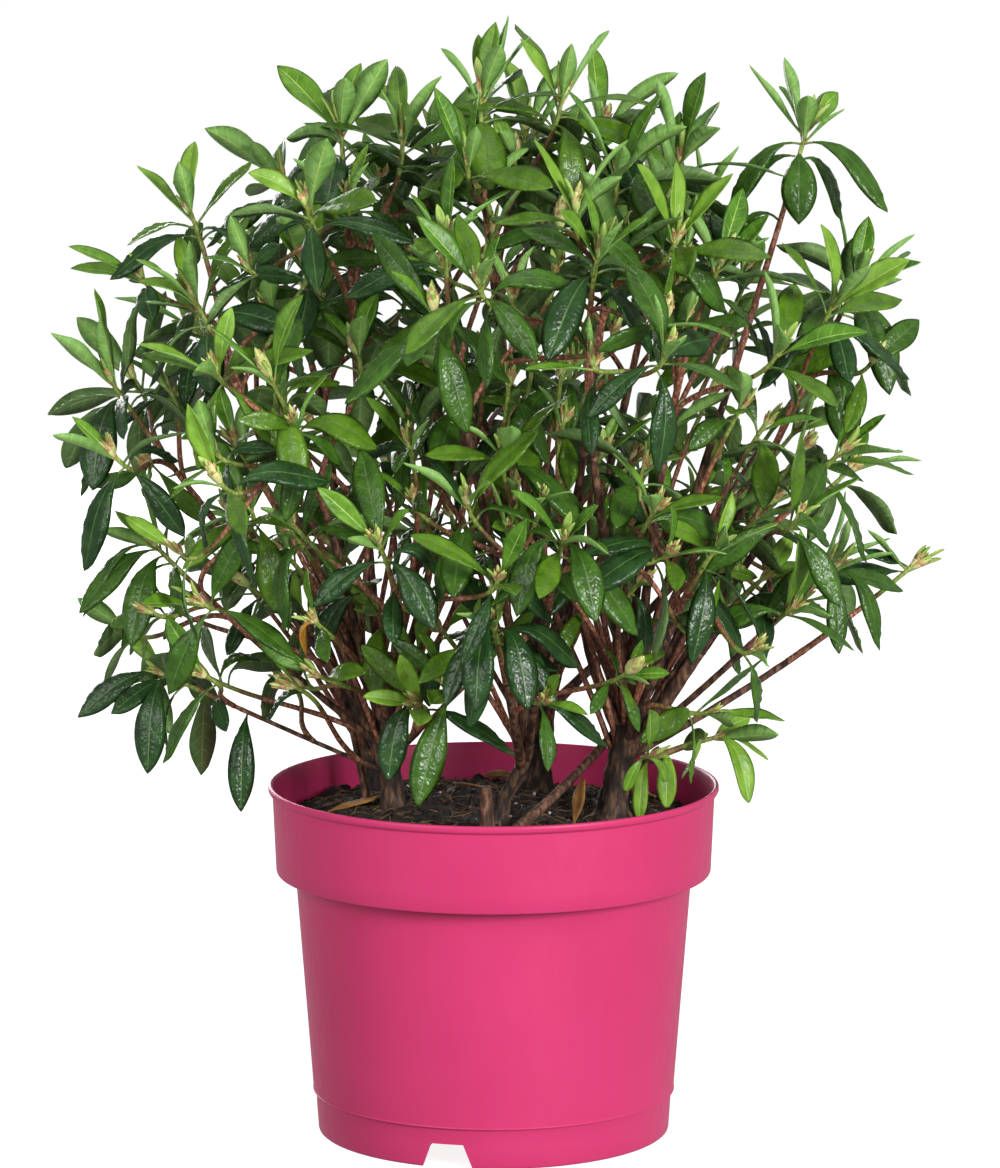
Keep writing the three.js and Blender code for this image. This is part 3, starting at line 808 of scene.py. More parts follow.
def make_pot():
    """The pot as one closed shell with its lip, seam and foot, less its notches and drain holes."""
    shell = add_mesh("pot_shell", *lathe(pot_profile(), POT_STEPS), [pot_material()])
    top = FLOOR_HEIGHT + 1
    tools = []
    outline = outline_of(NOTCHES["low"], NOTCHES["high"], -1, NOTCHES["height"])
    for angle in bearings(NOTCHES["count"]):
        tools.append((prism(outline, NOTCHES["start"], NOTCHES["end"], angle), "DIFFERENCE"))
    through = np.outer((FLOOR_HEIGHT - 4, FLOOR_HEIGHT + WALL + 4), UP)
    for angle in bearings(DRAIN_HOLES["count"]):
        line = way_at(angle) * DRAIN_HOLES["ring"] + through
        tools.append((tube(line, [DRAIN_HOLES["radius"]] * 2, HOLE_SIDES), "DIFFERENCE"))
    tools.append((tube(np.outer((0.6, top), UP), [BOSS_RADIUS] * 2, BOSS_SIDES), "UNION"))
    outline = outline_of(WALL, WALL, RIBS["low"], top)
    for angle in bearings(RIBS["count"], 0.5):
        tools.append((prism(outline, RIBS["start"], RIBS["end"], angle), "UNION"))
    for number, (solid, operation) in enumerate(tools):
        step = shell.modifiers.new(f"step_{number}", "BOOLEAN")
        step.solver = "EXACT"
        step.operation = operation
        step.object = add_mesh("cutter", *solid, [])
    evaluated = shell.evaluated_get(bpy.context.evaluated_depsgraph_get())
    piece = add_object("nursery_pot", bpy.data.meshes.new_from_object(evaluated))
    for step in shell.modifiers:
        bpy.data.objects.remove(step.object)
    bpy.data.objects.remove(shell)
    piece.data.polygons.foreach_set("use_smooth", np.ones(len(piece.data.polygons), bool))
    piece.data.set_sharp_from_angle(angle=math.radians(SHARP_EDGE))
    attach(piece, "root")
    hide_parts("pot")


MOUND = dict(middle=(-52, 10), height=5, reach=66, sink=9)
SOIL_RINGS = 64
SOIL_STEPS = 330


def lumps(point, size):
    """Noise from about -1 to 1, with lumps of the given size."""
    return noise.fractal(Vector(point) / size, 0.9, 2.1, 3)


def soil_height(x, y):
    """Height of the peat: a low mound on the left that falls away to the wall of the pot."""
    away = math.dist((x, y), MOUND["middle"]) / MOUND["reach"]
    out = math.hypot(x, y) / RIM_RADIUS
    clods = 2.6 * lumps((x, y, 0), 24) + 1.5 * lumps((x, y, 9), 7)
    return SOIL_LEVEL + MOUND["height"] * math.exp(-away * away) - MOUND["sink"] * out**3 + clods


def on_peat(x, y, lift=0):
    return np.array([x, y, soil_height(x, y) + lift])


def make_soil():
    """The peat: a rough top of clods, with the plain sides and underside of the part."""
    profile = [
        *above(WALL + GAP, (0, FLOOR_HEIGHT), (88, FLOOR_HEIGHT), (99.1, COLLAR_FOOT)),
        (108.8, COLLAR_FOOT + WALL + GAP),
        (SOIL_RADIUS - 0.6, SOIL_LEVEL - 9),
        *[(SOIL_RADIUS * k / SOIL_RINGS, SOIL_LEVEL) for k in range(SOIL_RINGS - 1, -1, -1)],
    ]
    points, faces = lathe(profile, SOIL_STEPS)
    for i in np.flatnonzero(points[:, 2] > SOIL_LEVEL - 1):
        points[i] = on_peat(*points[i, :2])
    add_piece("peat", points, faces, [peat_material()], "soil", ["soil"])


# A stone is a rough body of twenty faces: a point at each end and two rings of five between them
FIFTHS = np.arange(5) * FULL_TURN / 5
UPPER_RING = (2 * way_at(FIFTHS) + UP) / math.sqrt(5)
LOWER_RING = (2 * way_at(FIFTHS + math.pi / 5) - UP) / math.sqrt(5)
STONE = np.array([UP, *UPPER_RING, *LOWER_RING, -UP])
STONE_FACES = np.array(
    [
        face
        for a, b in ((1, 2), (2, 3), (3, 4), (4, 5), (5, 1))
        for face in ((0, a, b), (a, a + 5, b), (b, a + 5, b + 5), (a + 5, 11, b + 5))
    ]
)


def lump(middle, size, draw, flatness=1):
    """A little stone, turned at random."""
    points = STONE * [[draw(0.7, 1.2)] for _ in STONE] * [1, 1, flatness]
    tilt, turn = draw(-0.7, 0.7), draw(*PHASES)
    side = way_at(turn)
    over = np.cross(UP, side)
    axes = [side, way_at(tilt, over, UP), way_at(tilt, UP, -over)]
    return middle + points * size * [1, draw(0.6, 1), 1] @ axes, STONE_FACES


def random_place(draw, furthest=107):
    """A place on the peat, as likely anywhere on it."""
    return on_peat(*(furthest * math.sqrt(draw(0, 1)) * way_at(draw(0, FULL_TURN)))[:2])


LITTER = dict(crumbs=1500, chips=130, grains=70, fibres=330)
FIBRE = dict(steps=6, start=98, end=108)


def make_litter():
    """Crumbs and chips of peat, pale grains and fibres that lie on the peat."""
    draw = seeded(400)
    looks = [
        peat_material(),
        plain_stuff("bark_chip", 0.85, 3, (34, 21, 14), (74, 50, 34)),
        plain_stuff("fibre", 0.8, 6, (62, 42, 27), (118, 88, 58)),
        plain_stuff("lime_grain", 0.7, 1, (176, 168, 152), (222, 218, 206)),
    ]
    heap = Heap("peat_litter", looks, "soil", ["soil"])
    for _ in range(LITTER["crumbs"]):
        size = 0.7 + 2.4 * draw(0, 1) ** 3
        heap.add(*lump(random_place(draw) + UP * size * 0.2, size, draw), 0)
    for _ in range(LITTER["chips"]):
        size = draw(1.5, 4.2)
        heap.add(*lump(random_place(draw) + UP * 0.6, size, draw, 0.3), 1)
    for _ in range(LITTER["grains"]):
        size = draw(0.4, 1.2)
        heap.add(*lump(random_place(draw) + UP * size * 0.5, size, draw), 3)
    for _ in range(LITTER["fibres"]):
        heap.add(*fibre(draw), 2)
    heap.build()


def fibre(draw):
    """A thin fibre that arches and curls over the peat, no further than the wall of the pot."""
    place = random_place(draw, FIBRE["start"])
    length, angle, curl = draw(6, 26), draw(0, FULL_TURN), draw(-1.4, 1.4)
    points = []
    for share in np.arange(FIBRE["steps"] + 1) / FIBRE["steps"]:
        arch = 1.6 * math.sin(share * math.pi) * draw(0.2, 1)
        points.append(on_peat(*place[:2], 0.5 + arch))
        place = place + way_at(angle + curl * share) * length / FIBRE["steps"]
        if math.hypot(*place[:2]) > FIBRE["end"]:
            break
    return tube(np.array(points), np.linspace(draw(0.25, 0.5), 0.15, len(points)), 4)


# Wood


def fissures(draw, depth, count):
    """Relief of bark: ridges that run along a limb, wander round it and open into cracks."""
    waves = [
        (count * (k + 1) + k, draw(*PHASES), draw(0.05, 0.12), draw(*PHASES), depth / (k + 1))
        for k in range(3)
    ]

    def relief(angles, along):
        size = 1.0
        for ridges, phase, pace, drift, share in waves:
            wander = 0.9 * np.sin(along * pace + drift) + 0.5 * np.sin(along * pace * 2.7 + phase)
            size = size + share * (np.abs(np.sin(angles * ridges / 2 + wander + phase)) - 0.6)
        return size + depth * 0.4 * np.sin(along * 0.55 + 2 * np.sin(angles + phase))

    return relief


def nodes_along(draw, spacing, swell):
    """Relief of a twig: low swellings where leaves have stood, each on its own side."""
    start = draw(0, spacing)

    def relief(angles, along):
        place = (along - start) / spacing
        number = np.round(place)
        near = np.exp(-(((place - number) * spacing / 1.3) ** 2))
        lopsided = 0.6 + 0.4 * np.cos(angles - math.radians(GOLDEN_TURN) * number)
        return 1 + swell * near * lopsided

    return relief


def shares_for(curve, spacing):
    """Even shares of a curve, at least four steps and about the given spacing apart."""
    count = max(4, round(length_of(points_on(curve, 8)) / spacing))
    return np.arange(count + 1) / count


# How wood is made: the spacing of its rings, its sides, and the depth and number of its ridges
Bark = namedtuple("Bark", "spacing sides depth ridges")
STEM_BARK = Bark(1.2, 30, 0.13, 7)
BOUGH_BARK = Bark(2, 14, 0.075, 4)
BURIED = 8
BOUGH_SWELLING = dict(share=0.28, reach=9)


def make_wood(stems, boughs):
    """Stems and boughs with fissured bark. A bough swells where it leaves its stem."""
    draw = seeded(300)
    heap = Heap("stems", [bark_material("bark", OLD_BARK, 3)], "bark", STEM_NODES)
    for stem in stems:
        points = bezier(stem.curve, shares_for(stem.curve, STEM_BARK.spacing))
        points = np.concatenate([[points[0] - UP * BURIED], points])
        height = points[:, 2] - SOIL_LEVEL
        share = np.clip(height / height[-1], 0, 1)
        flare = 1 + FLARE["share"] * np.exp(-np.clip(height, 0, None) / FLARE["height"])
        relief = fissures(draw, STEM_BARK.depth, STEM_BARK.ridges)
        heap.add(*tube(points, mix(stem.radii, share) * flare, STEM_BARK.sides, relief))
    heap.build()
    heap = Heap("boughs", [bark_material("young_bark", YOUNG_BARK, 2.4)], "bark", BOUGH_NODES)
    for bough in [*boughs, Wood("stub", np.array(STUB_CURVE, float), STUB_RADII, 1)]:
        share = shares_for(bough.curve, BOUGH_BARK.spacing)
        along = np.arange(len(share)) * BOUGH_BARK.spacing
        swelling = 1 + BOUGH_SWELLING["share"] * np.exp(-along / BOUGH_SWELLING["reach"])
        radii = mix(bough.radii, share**bough.taper) * swelling
        relief = fissures(draw, BOUGH_BARK.depth, BOUGH_BARK.ridges)
        heap.add(*tube(bezier(bough.curve, share), radii, BOUGH_BARK.sides, relief))
    heap.build()


TWIG_SPACING = 2.5
TWIG_SIDES = 8
TWIG_GIRTH = 1.08
SCAR_SPACING = (9, 14)
TWIG_GREEN = 20
TWIG_TURNING = 32
THICK_TWIG = 1.75
SWELLING = 0.19


def make_twigs(shoots):
    """Twigs: bark where thick, then reddish brown with leaf scars, and green towards their tips."""
    draw = seeded(301)
    looks = [
        twig_material("twig_brown", (100, 54, 38), (140, 84, 59), (186, 142, 114)),
        twig_material("twig_turning", (96, 62, 34), (126, 112, 52)),
        twig_material("twig_green", (96, 116, 36), (146, 162, 78)),
        bark_material("twig_bark", YOUNG_BARK, 2.4),
    ]
    heap = Heap("twigs", looks, "bark", FOLIAGE_NODES)
    for shoot in shoots:
        share = shares_for(shoot.curve, TWIG_SPACING)
        points = bezier(shoot.curve, share)
        relief = nodes_along(draw, draw(*SCAR_SPACING), SWELLING * TIP_RADIUS / max(shoot.radii))
        vertices, faces = tube(points, mix(shoot.radii, share) * TWIG_GIRTH, TWIG_SIDES, relief)
        face_share = share[faces.min(1) // TWIG_SIDES]
        left = length_of(points) * (1 - face_share)
        look = np.where(left < TWIG_GREEN, 2, np.where(left < TWIG_TURNING, 1, 0))
        is_thick = mix(shoot.radii, face_share) > THICK_TWIG
        heap.add(vertices, faces, np.where(is_thick & (look == 0), 3, look))
    heap.build()


# Leaves

VEINS = 6
VEIN_PLACES = np.linspace(0.2, 0.86, VEINS)
VEIN_HALF_WIDTH = 0.0065
VEIN_LEAN = 0.42
BLADE_START = 0.09
PETIOLE_RADIUS = 0.55
LEAF_SKIN = 0.4
KEEL = 0.7
TOP, MIDRIB, VEIN, UNDERSIDE, KEEL_STRIP, STALK = range(6)
STALK_ROWS = 2
TAN_ROWS = 5

# The points of a blade: its rows from stalk to tip, which of them are swellings between veins, the
# side of a vein each is on, and its columns across the top and between the edges underneath
Grid = namedtuple("Grid", "rows swollen beside columns under")


def veined_grid():
    """Four rows on the stalk and heel, then two beside each vein and one on each swelling."""
    gap = VEIN_PLACES[1] - VEIN_PLACES[0]
    veined = [row for place in VEIN_PLACES for row in (place, place, place + gap / 2)]
    rows = np.array([0, 0.045, BLADE_START, 0.145, *veined[:-1], 0.95])
    swollen, beside = np.array([0, 0, 0, 1] + [0, 0, 1] * VEINS), np.array([0] * 4 + [-1, 1, 0] * VEINS)
    columns = np.array([-1, -0.72, -0.36, -0.04, 0.04, 0.36, 0.72, 1])
    return Grid(rows, swollen, beside, columns, np.array([-0.06, 0.06]))


def plain_grid():
    """A few rows and columns for the leaflets in the middle of a whorl."""
    rows = np.array([0, BLADE_START, 0.28, 0.46, 0.64, 0.82, 0.95])
    flat = np.zeros(len(rows), int)
    return Grid(rows, flat, flat, np.array([-1, -0.5, 0, 0.5, 1]), np.array([0]))


def topology(grid):
    """Faces of a blade, and whether each is on its top, a vein or its underside."""
    rows, columns, under = len(grid.rows), len(grid.columns), len(grid.under)
    top = np.arange(rows * columns).reshape(rows, columns)
    lower = np.arange(rows * under).reshape(rows, under) + top.size
    tip = top.size + lower.size
    below = np.hstack([top[:, :1], lower, top[:, -1:]])
    faces, looks = [], []

    def look_of(row, column, is_top):
        between_veins = row + 1 == rows or grid.swollen[row] or grid.swollen[row + 1]
        if row < STALK_ROWS:
            return STALK
        if not is_top:
            return UNDERSIDE if between_veins and column != 1 else KEEL_STRIP
        if column == columns // 2 - 1:
            return STALK if row < TAN_ROWS else MIDRIB
        return TOP if between_veins or column in (0, columns - 2) else VEIN

    for points, is_top in ((top, True), (below, False)):
        for row, column in product(range(rows), range(points.shape[1] - 1)):
            a, b = points[row, column : column + 2]
            made = [(a, tip, b)]
            if row + 1 < rows:
                d, c = points[row + 1, column : column + 2]
                made = [(a, d, c), (a, c, b)]
            faces += [face if is_top else face[::-1] for face in made]
            looks += [look_of(row, column, is_top)] * len(made)
    heel = [*top[0], *lower[0][::-1]]
    faces += [(heel[0], *pair) for pair in zip(heel[1:], heel[2:])]
    return np.array(faces), np.array(looks + [UNDERSIDE] * (len(heel) - 2))


VEINED, PLAIN = veined_grid(), plain_grid()
BLADE_FACES, BLADE_LOOKS = topology(VEINED)
LEAFLET_FACES, _ = topology(PLAIN)

# A kind of leaf: its lean from the twig where it starts and where it ends, its length, its width
# as a share of that, how much it hangs, how it is folded up along the midrib, how its edges curl
# down, how deep its veins are pressed in, how early its stalk bends, how pointed its outline is and
# how it is rolled about its midrib
Kind = namedtuple(
    "Kind",
    "lean end_lean length ratio weight fold curl relief early point roll",
    defaults=((-0.6, 0.6),),
)
LEAFLET = Kind((6, 22), (8, 34), (10, 21), (0.18, 0.24), 0, 0.5, 0, 0.1, 1, 1.1)
YOUNG = Kind((18, 36), (22, 66), (30, 51), (0.22, 0.31), 0.04, 0.34, 0.02, 0.34, 1, 1.25)
MIDDLE = Kind((34, 54), (54, 92), (40, 58), (0.23, 0.32), 0.18, 0.2, 0.06, 0.42, 1.8, 1.2)
OLD = Kind((46, 70), (86, 150), (42, 61), (0.25, 0.34), 0.5, 0.12, 0.12, 0.8, 2.6, 1.16)
LOW = Kind((40, 60), (74, 124), (32, 50), (0.28, 0.38), 0.5, 0.08, 0.1, 0.5, 2.4, 0.95)
ROUND = Kind((60, 84), (120, 165), (22, 36), (0.3, 0.38), 0.7, 0.2, 0.05, 0.3, 2.4, 0.8)
SPRIG = YOUNG._replace(length=(25, 41), ratio=(0.26, 0.34))
FALLEN = Kind((0, 6), (0, 12), (26, 42), (0.3, 0.38), 0.05, 0.2, 0.1, 0.3, 1, 0.9)
LIGHT_PULL = 0.4
POINT_RANGE = 0.1

# The places that stand for a blade where it is kept clear of others: along it, and across it as
# shares of its half width
SAMPLE_SHARES = np.array([0.36, 0.54, 0.72, 0.88, 1, 0.5, 0.5, 0.72, 0.72])
SAMPLES_ACROSS = np.array([0, 0, 0, 0, 0, 0.8, -0.8, 0.7, -0.7])


def profile(share, point):
    """Half width along a blade, as a share of the widest: a long taper at its foot."""
    near, far = 1.2 * point, 0.82 * point
    widest = near / (near + far)
    share = np.clip(share, 0, 1)
    return (share / widest) ** near * ((1 - share) / (1 - widest)) ** far


class Leaf:
    """One leaf: the line of its midrib, and the way that its face looks along it."""

    STEPS = 24

    def __init__(self, kind, root, axis, out, scale, weight, draw):
        self.kind = kind
        self.length = draw(*kind.length) * scale
        self.width = self.length * draw(*kind.ratio)
        roll, twist = draw(*kind.roll), draw(-0.6, 0.6)
        self.phase = draw(*PHASES)
        self.point = kind.point * (1 + POINT_RANGE * math.sin(self.phase))
        start_way = unit(way_at(math.radians(draw(*kind.lean)), axis, out))
        end_lean = math.radians(draw(*kind.end_lean))
        last_way = unit(way_at(end_lean, axis, out) - UP * kind.weight * weight)
        share = np.linspace(0, 1, self.STEPS + 1)
        ease = (1 - (1 - share) ** kind.early)[:, None]
        self.ways = unit(mix((start_way, last_way), ease))
        steps = (self.ways[1:] + self.ways[:-1]) / 2 * self.length / self.STEPS
        self.line = root + np.vstack([np.zeros(3), np.cumsum(steps, axis=0)])
        self.middle = self.line[self.STEPS // 2]
        light = unit(axis + UP * LIGHT_PULL)
        faces = unit(light - self.ways * (self.ways @ light)[:, None])
        sides = np.cross(faces, self.ways)
        turn = roll + twist * share
        self.sides, self.faces = way_at(turn, sides, faces), way_at(turn, faces, -sides)
        self.samples = self.at(SAMPLE_SHARES, SAMPLES_ACROSS * self.width / 2, 0 * SAMPLE_SHARES)

    def at(self, share, across, lift):
        """The point at a share of the length, so far across the midrib and above it."""
        place = np.clip(share, 0, 1) * self.STEPS
        low = np.minimum(place.astype(int), self.STEPS - 1)
        part = (place - low)[..., None]
        line, side, face = (
            mix((track[low], track[low + 1]), part) for track in (self.line, self.sides, self.faces)
        )
        return line + side * across[..., None] + face * lift[..., None]

    def points(self, grid=VEINED):
        top = self.surface(grid, grid.columns, True)
        under = self.surface(grid, grid.under, False)
        return np.concatenate([top, under, self.line[-1:]])

    def surface(self, grid, columns, is_top):
        """Points of the top, or of the underside less its edges, row after row."""
        kind = self.kind
        rows, across = np.meshgrid(grid.rows, columns, indexing="ij")
        edge = np.abs(across)
        blade = np.clip((rows - BLADE_START) / (1 - BLADE_START), 0, 1)
        rows = rows + grid.beside[:, None] * VEIN_HALF_WIDTH * (1 - 0.8 * np.clip(edge / 0.72, 0, 1))
        share = np.clip(rows + VEIN_LEAN * blade * (1 - blade) * edge**1.2, 0, 1)
        half = self.width / 2 * profile((share - BLADE_START) / (1 - BLADE_START), self.point)
        half = np.maximum(half, PETIOLE_RADIUS * (1 - 0.7 * blade))
        broad = np.clip(half / 3 - 0.15, 0, 1)
        lift = kind.fold * half * edge - kind.curl * self.width * broad * edge**3
        lift += 0.09 * half * broad * edge**2 * np.sin(9 * share + self.phase + (across > 0))
        if is_top:
            lift += kind.relief * grid.swollen[:, None] * broad * np.sin(math.pi * edge) ** 0.7
            lift -= 0.3 * broad * (edge < 0.1)
        else:
            lift -= LEAF_SKIN + KEEL * (edge < 0.1) * (1 - 0.7 * blade)
        return self.at(share, across * half, lift).reshape(-1, 3)


class Room:
    """The places of the leaves so far, in cells, so that leaves don't cross."""

    def __init__(self, reach):
        self.reach = reach
        self.cells = defaultdict(list)

    def cell(self, point):
        return tuple(int(x // self.reach) for x in point)

    def is_free(self, points):
        return not any(
            math.dist(other, point) < self.reach
            for point in points
            for near in product(*((i - 1, i, i + 1) for i in self.cell(point)))
            for other in self.cells.get(near, ())
        )

    def add(self, points):
        for point in points:
            self.cells[self.cell(point)].append(tuple(point))


# Leaves that are placed one by one, by the limb that holds them or by the place where their shoot
# ends: the share of the shoot where each stands, its bearing, its lean from upright where it starts
# and ends, its length, its width as a share of that and its roll
PLACED_VALUES = ("lean", "end_lean", "length", "ratio", "roll")
HUNG_LEAVES = {
    "low_right": [
        (0.98, -42, 66, 168, 46, 0.27, 0.2),
        (0.5, 268, 84, 174, 34, 0.3, 0),
        (0.3, 250, 100, 176, 34, 0.24, -0.2),
        (0.99, 40, 56, 80, 27, 0.3, 0.8),
        (0.96, -10, 60, 128, 34, 0.16, 0.2),
    ],
    "front_low": [
        (0.97, 250, 60, 172, 56, 0.3, -0.1),
        (0.94, 305, 58, 168, 54, 0.32, 0.2),
        (0.9, 215, 66, 160, 50, 0.26, -0.5),
    ],
    "low_front_left": [(0.95, 225, 66, 172, 50, 0.3, -0.3)],
    "right_front": [(0.96, 210, 60, 170, 52, 0.3, -0.5), (0.92, 300, 62, 160, 54, 0.32, 0.3)],
    "sprig_top_right": [
        (0.95, 192, 72, 156, 60, 0.25, -0.8),
        (0.9, 150, 72, 150, 54, 0.24, -0.9),
        (0.95, -12, 70, 148, 60, 0.25, 0.8),
        (0.9, 268, 56, 172, 48, 0.38, 0),
        (0.88, 40, 60, 160, 52, 0.26, 0.9),
        (0.66, 192, 40, 156, 48, 0.2, -0.5),
    ],
    "right_outlier": [(0.99, 192, 58, 72, 27, 0.34, -0.7), (0.95, 172, 84, 98, 42, 0.32, -1)],
    "right_low_edge": [(0.95, 335, 74, 170, 54, 0.24, 0.6), (0.9, 285, 84, 174, 48, 0.26, 0.1)],
    "left_mid_edge": [
        (0.99, 190, 66, 156, 58, 0.17, -0.3),
        (0.96, 196, 84, 142, 54, 0.3, -0.9),
        (0.9, 240, 84, 164, 58, 0.3, -0.5),
    ],
    "left_edge": [(0.9, 240, 84, 170, 58, 0.34, -0.3)],
    "left_low": [
        (0.98, 250, 92, 174, 58, 0.29, 0),
        (0.99, 188, 70, 132, 52, 0.25, -0.8),
        (0.9, 200, 84, 128, 38, 0.36, -0.7),
        (0.12, 262, 92, 176, 58, 0.24, 0),
    ],
}

# Leaves that are added to whorls once the others have their places
ADDED_LEAVES = {
    "top_crown": [(0.99, 20, 10, 13, 39, 0.32, 0.2), (0.96, 15, 28, 6, 48, 0.3, 0.2)],
    "left_edge": [(0.98, 172, 12, 10, 50, 0.3, 0.3)],
    "sprig_top_right": [(0.98, 186, 42, 34, 46, 0.22, 0.5), (0.99, 176, 20, 12, 40, 0.24, 0.4)],
    (93, -24, 500): [(0.99, 8, 14, 18, 47, 0.36, 0.2), (0.98, 176, 18, 10, 45, 0.27, 0.3)],
    "right_outlier": [(0.97, 208, 50, 44, 33, 0.4, -0.6)],
}
ADDED_OLD_LEAVES = {
    "right_edge_upper": [(0.93, 312, 86, 170, 61, 0.28, 0.6), (0.64, 300, 90, 172, 57, 0.33, 0.3)],
}


def hang_leaves(table, kind, shoots, draw):
    """Leaves that are placed one by one, each with its spray's number."""
    leaders = {shoot.owner: number for number, shoot in reversed(list(enumerate(shoots)))}
    made = []
    for place, rows in table.items():
        number = leaders.get(place)
        if number is None:
            number = min(range(len(shoots)), key=lambda k: math.dist(shoots[k].curve[3], place))
        own_kind = ROUND if place == "low_right" else kind
        for share, bearing, *values in rows:
            as_placed = {name: (value, value) for name, value in zip(PLACED_VALUES, values)}
            root, out = bezier(shoots[number].curve, share), way_at(math.radians(bearing))
            leaf = Leaf(own_kind._replace(weight=0, **as_placed), root, UP, out, 1, 1, draw)
            leaf.kind = own_kind
            made.append((number, leaf))
    return made


# What a whorl holds, by the order of its shoot or by its limb: kind, number, how far below the tip
# it starts and the step between leaves
WHORLS = {
    0: [(LEAFLET, 4, 0.5, 0.5), (YOUNG, 4, 2, 1), (MIDDLE, 2, 7, 1.6), (OLD, 5, 10, 2), (LOW, 1, 26, 8)],
    1: [(LEAFLET, 3, 0.5, 0.5), (YOUNG, 3, 2, 1), (MIDDLE, 2, 6, 1.6), (OLD, 4, 9, 2)],
    2: [(LEAFLET, 3, 0.5, 0.5), (YOUNG, 3, 2, 1), (MIDDLE, 2, 6, 1.6), (OLD, 3, 9, 2)],
    3: [(LEAFLET, 2, 0.5, 0.5), (YOUNG, 2, 2, 1), (MIDDLE, 1, 5, 1.6), (OLD, 2, 7, 2)],
    "low_right": [(LEAFLET, 3, 0.5, 0.5), (YOUNG, 2, 2, 1), (ROUND, 4, 3, 2.4)],
    "low_front_left": [(LEAFLET, 3, 0.5, 0.5), (YOUNG, 3, 2, 1), (MIDDLE, 1, 6, 2), (OLD, 1, 9, 2)],
    "sprig_top_right": [(LEAFLET, 4, 0.5, 0.5), (SPRIG, 5, 2, 1)],
    "right_outlier": [(LEAFLET, 6, 0.5, 0.5)],
}
WHORL_SCALE = {0: 1, 1: 0.97, 2: 0.9, 3: 0.8}
LEAF_TRIES = 7
LEAF_TRY_TURN = 37
LEAF_GAP = 4.6
WOOD_GAP = 1.4


def is_low_left(shoot):
    x, _, z = shoot.curve[3]
    return x < 0 and z < LOW_LEFT["top"] and shoot.owner != LOW_LEFT["other"]


def grow_leaves(shoots, bones):
    """Leaves of every whorl, each with its spray's number, placed where they have room."""
    draw = seeded(500)
    room = Room(LEAF_GAP)
    leaves = hang_leaves(HUNG_LEAVES, OLD, shoots, seeded(504))
    for _, leaf in leaves:
        room.add(leaf.samples)
    for number, shoot in enumerate(shoots):
        tip = shoot.curve[3]
        length = length_of(points_on(shoot.curve, 8))
        other_wood = np.linalg.norm(bones.table[:, 3:6] - tip, axis=1) >= 1
        turn = draw(0, 360)
        full = LONE_FULLNESS if shoot.owner in LONE_SPRIGS else fullness(tip)
        scale = WHORL_SCALE[shoot.order] * (0.92 + 0.16 * full)
        if math.dist(tip, SMALL_SPRIG["place"]) < SMALL_SPRIG["reach"]:
            scale *= SMALL_SPRIG["scale"]
        weight = 2 - 1.1 * full
        for kind, count, start, step in WHORLS.get(shoot.owner, WHORLS[shoot.order]):
            back = start
            if is_low_left(shoot):
                count *= {YOUNG: LOW_LEFT["young"], OLD: LOW_LEFT["old"]}.get(kind, 1)
            for _ in range(round(count * (0.5 + 0.5 * full))):
                turn += GOLDEN_TURN
                back += step * draw(0.8, 1.2)
                share = max(0.1, 1 - back / length)
                root, axis = bezier(shoot.curve, share), tangent(shoot.curve, share)
                for attempt in range(LEAF_TRIES):
                    angle = math.radians(turn + LEAF_TRY_TURN * attempt)
                    out = way_at(angle, *frame_across(axis))
                    leaf = Leaf(kind, root, axis, out, scale, weight, draw)
                    if not has_place(leaf, room, bones, other_wood):
                        continue
                    if kind is not LEAFLET:
                        room.add(leaf.samples)
                    if kind is LEAFLET or not (is_in_sky(leaf) or has_fallen(leaf)):
                        leaves.append((number, leaf))
                    break
    leaves += hang_leaves(ADDED_LEAVES, YOUNG, shoots, seeded(505))
    return leaves + hang_leaves(ADDED_OLD_LEAVES, OLD, shoots, seeded(506))


def has_place(leaf, room, bones, other_wood):
    """Whether a leaf keeps to the CAD box and clear of the pot, of other leaves and of other wood."""
    points = leaf.samples
    low, high = (np.array(corner) / MM for corner in cad_box)
    if (points < low).any() or (points > high).any() or not is_clear_of_pot(points):
        return False
    if leaf.kind is LEAFLET:
        return True
    return room.is_free(points) and bones.distances(points)[:, other_wood].min() >= WOOD_GAP


def is_in_sky(leaf):
    """Whether a leaf covers one of the places where the sky shows from the front."""
    eye = np.array(CAMERA_PLACE)
    seen = eye + (leaf.samples - eye) * (-eye[1] / (leaf.samples[:, 1:2] - eye[1]))
    return any((np.hypot(seen[:, 0] - x, seen[:, 2] - z) < radius).any() for x, z, radius in SKY)


def has_fallen(leaf):
    x, _, z = leaf.middle
    is_deep = crown_share(leaf.middle) < BARE_INSIDE["share"] and z > BARE_INSIDE["height"]
    return is_deep and x > BARE_INSIDE["left"] and leaf.phase < PHASES[1] * BARE_INSIDE["fallen"]


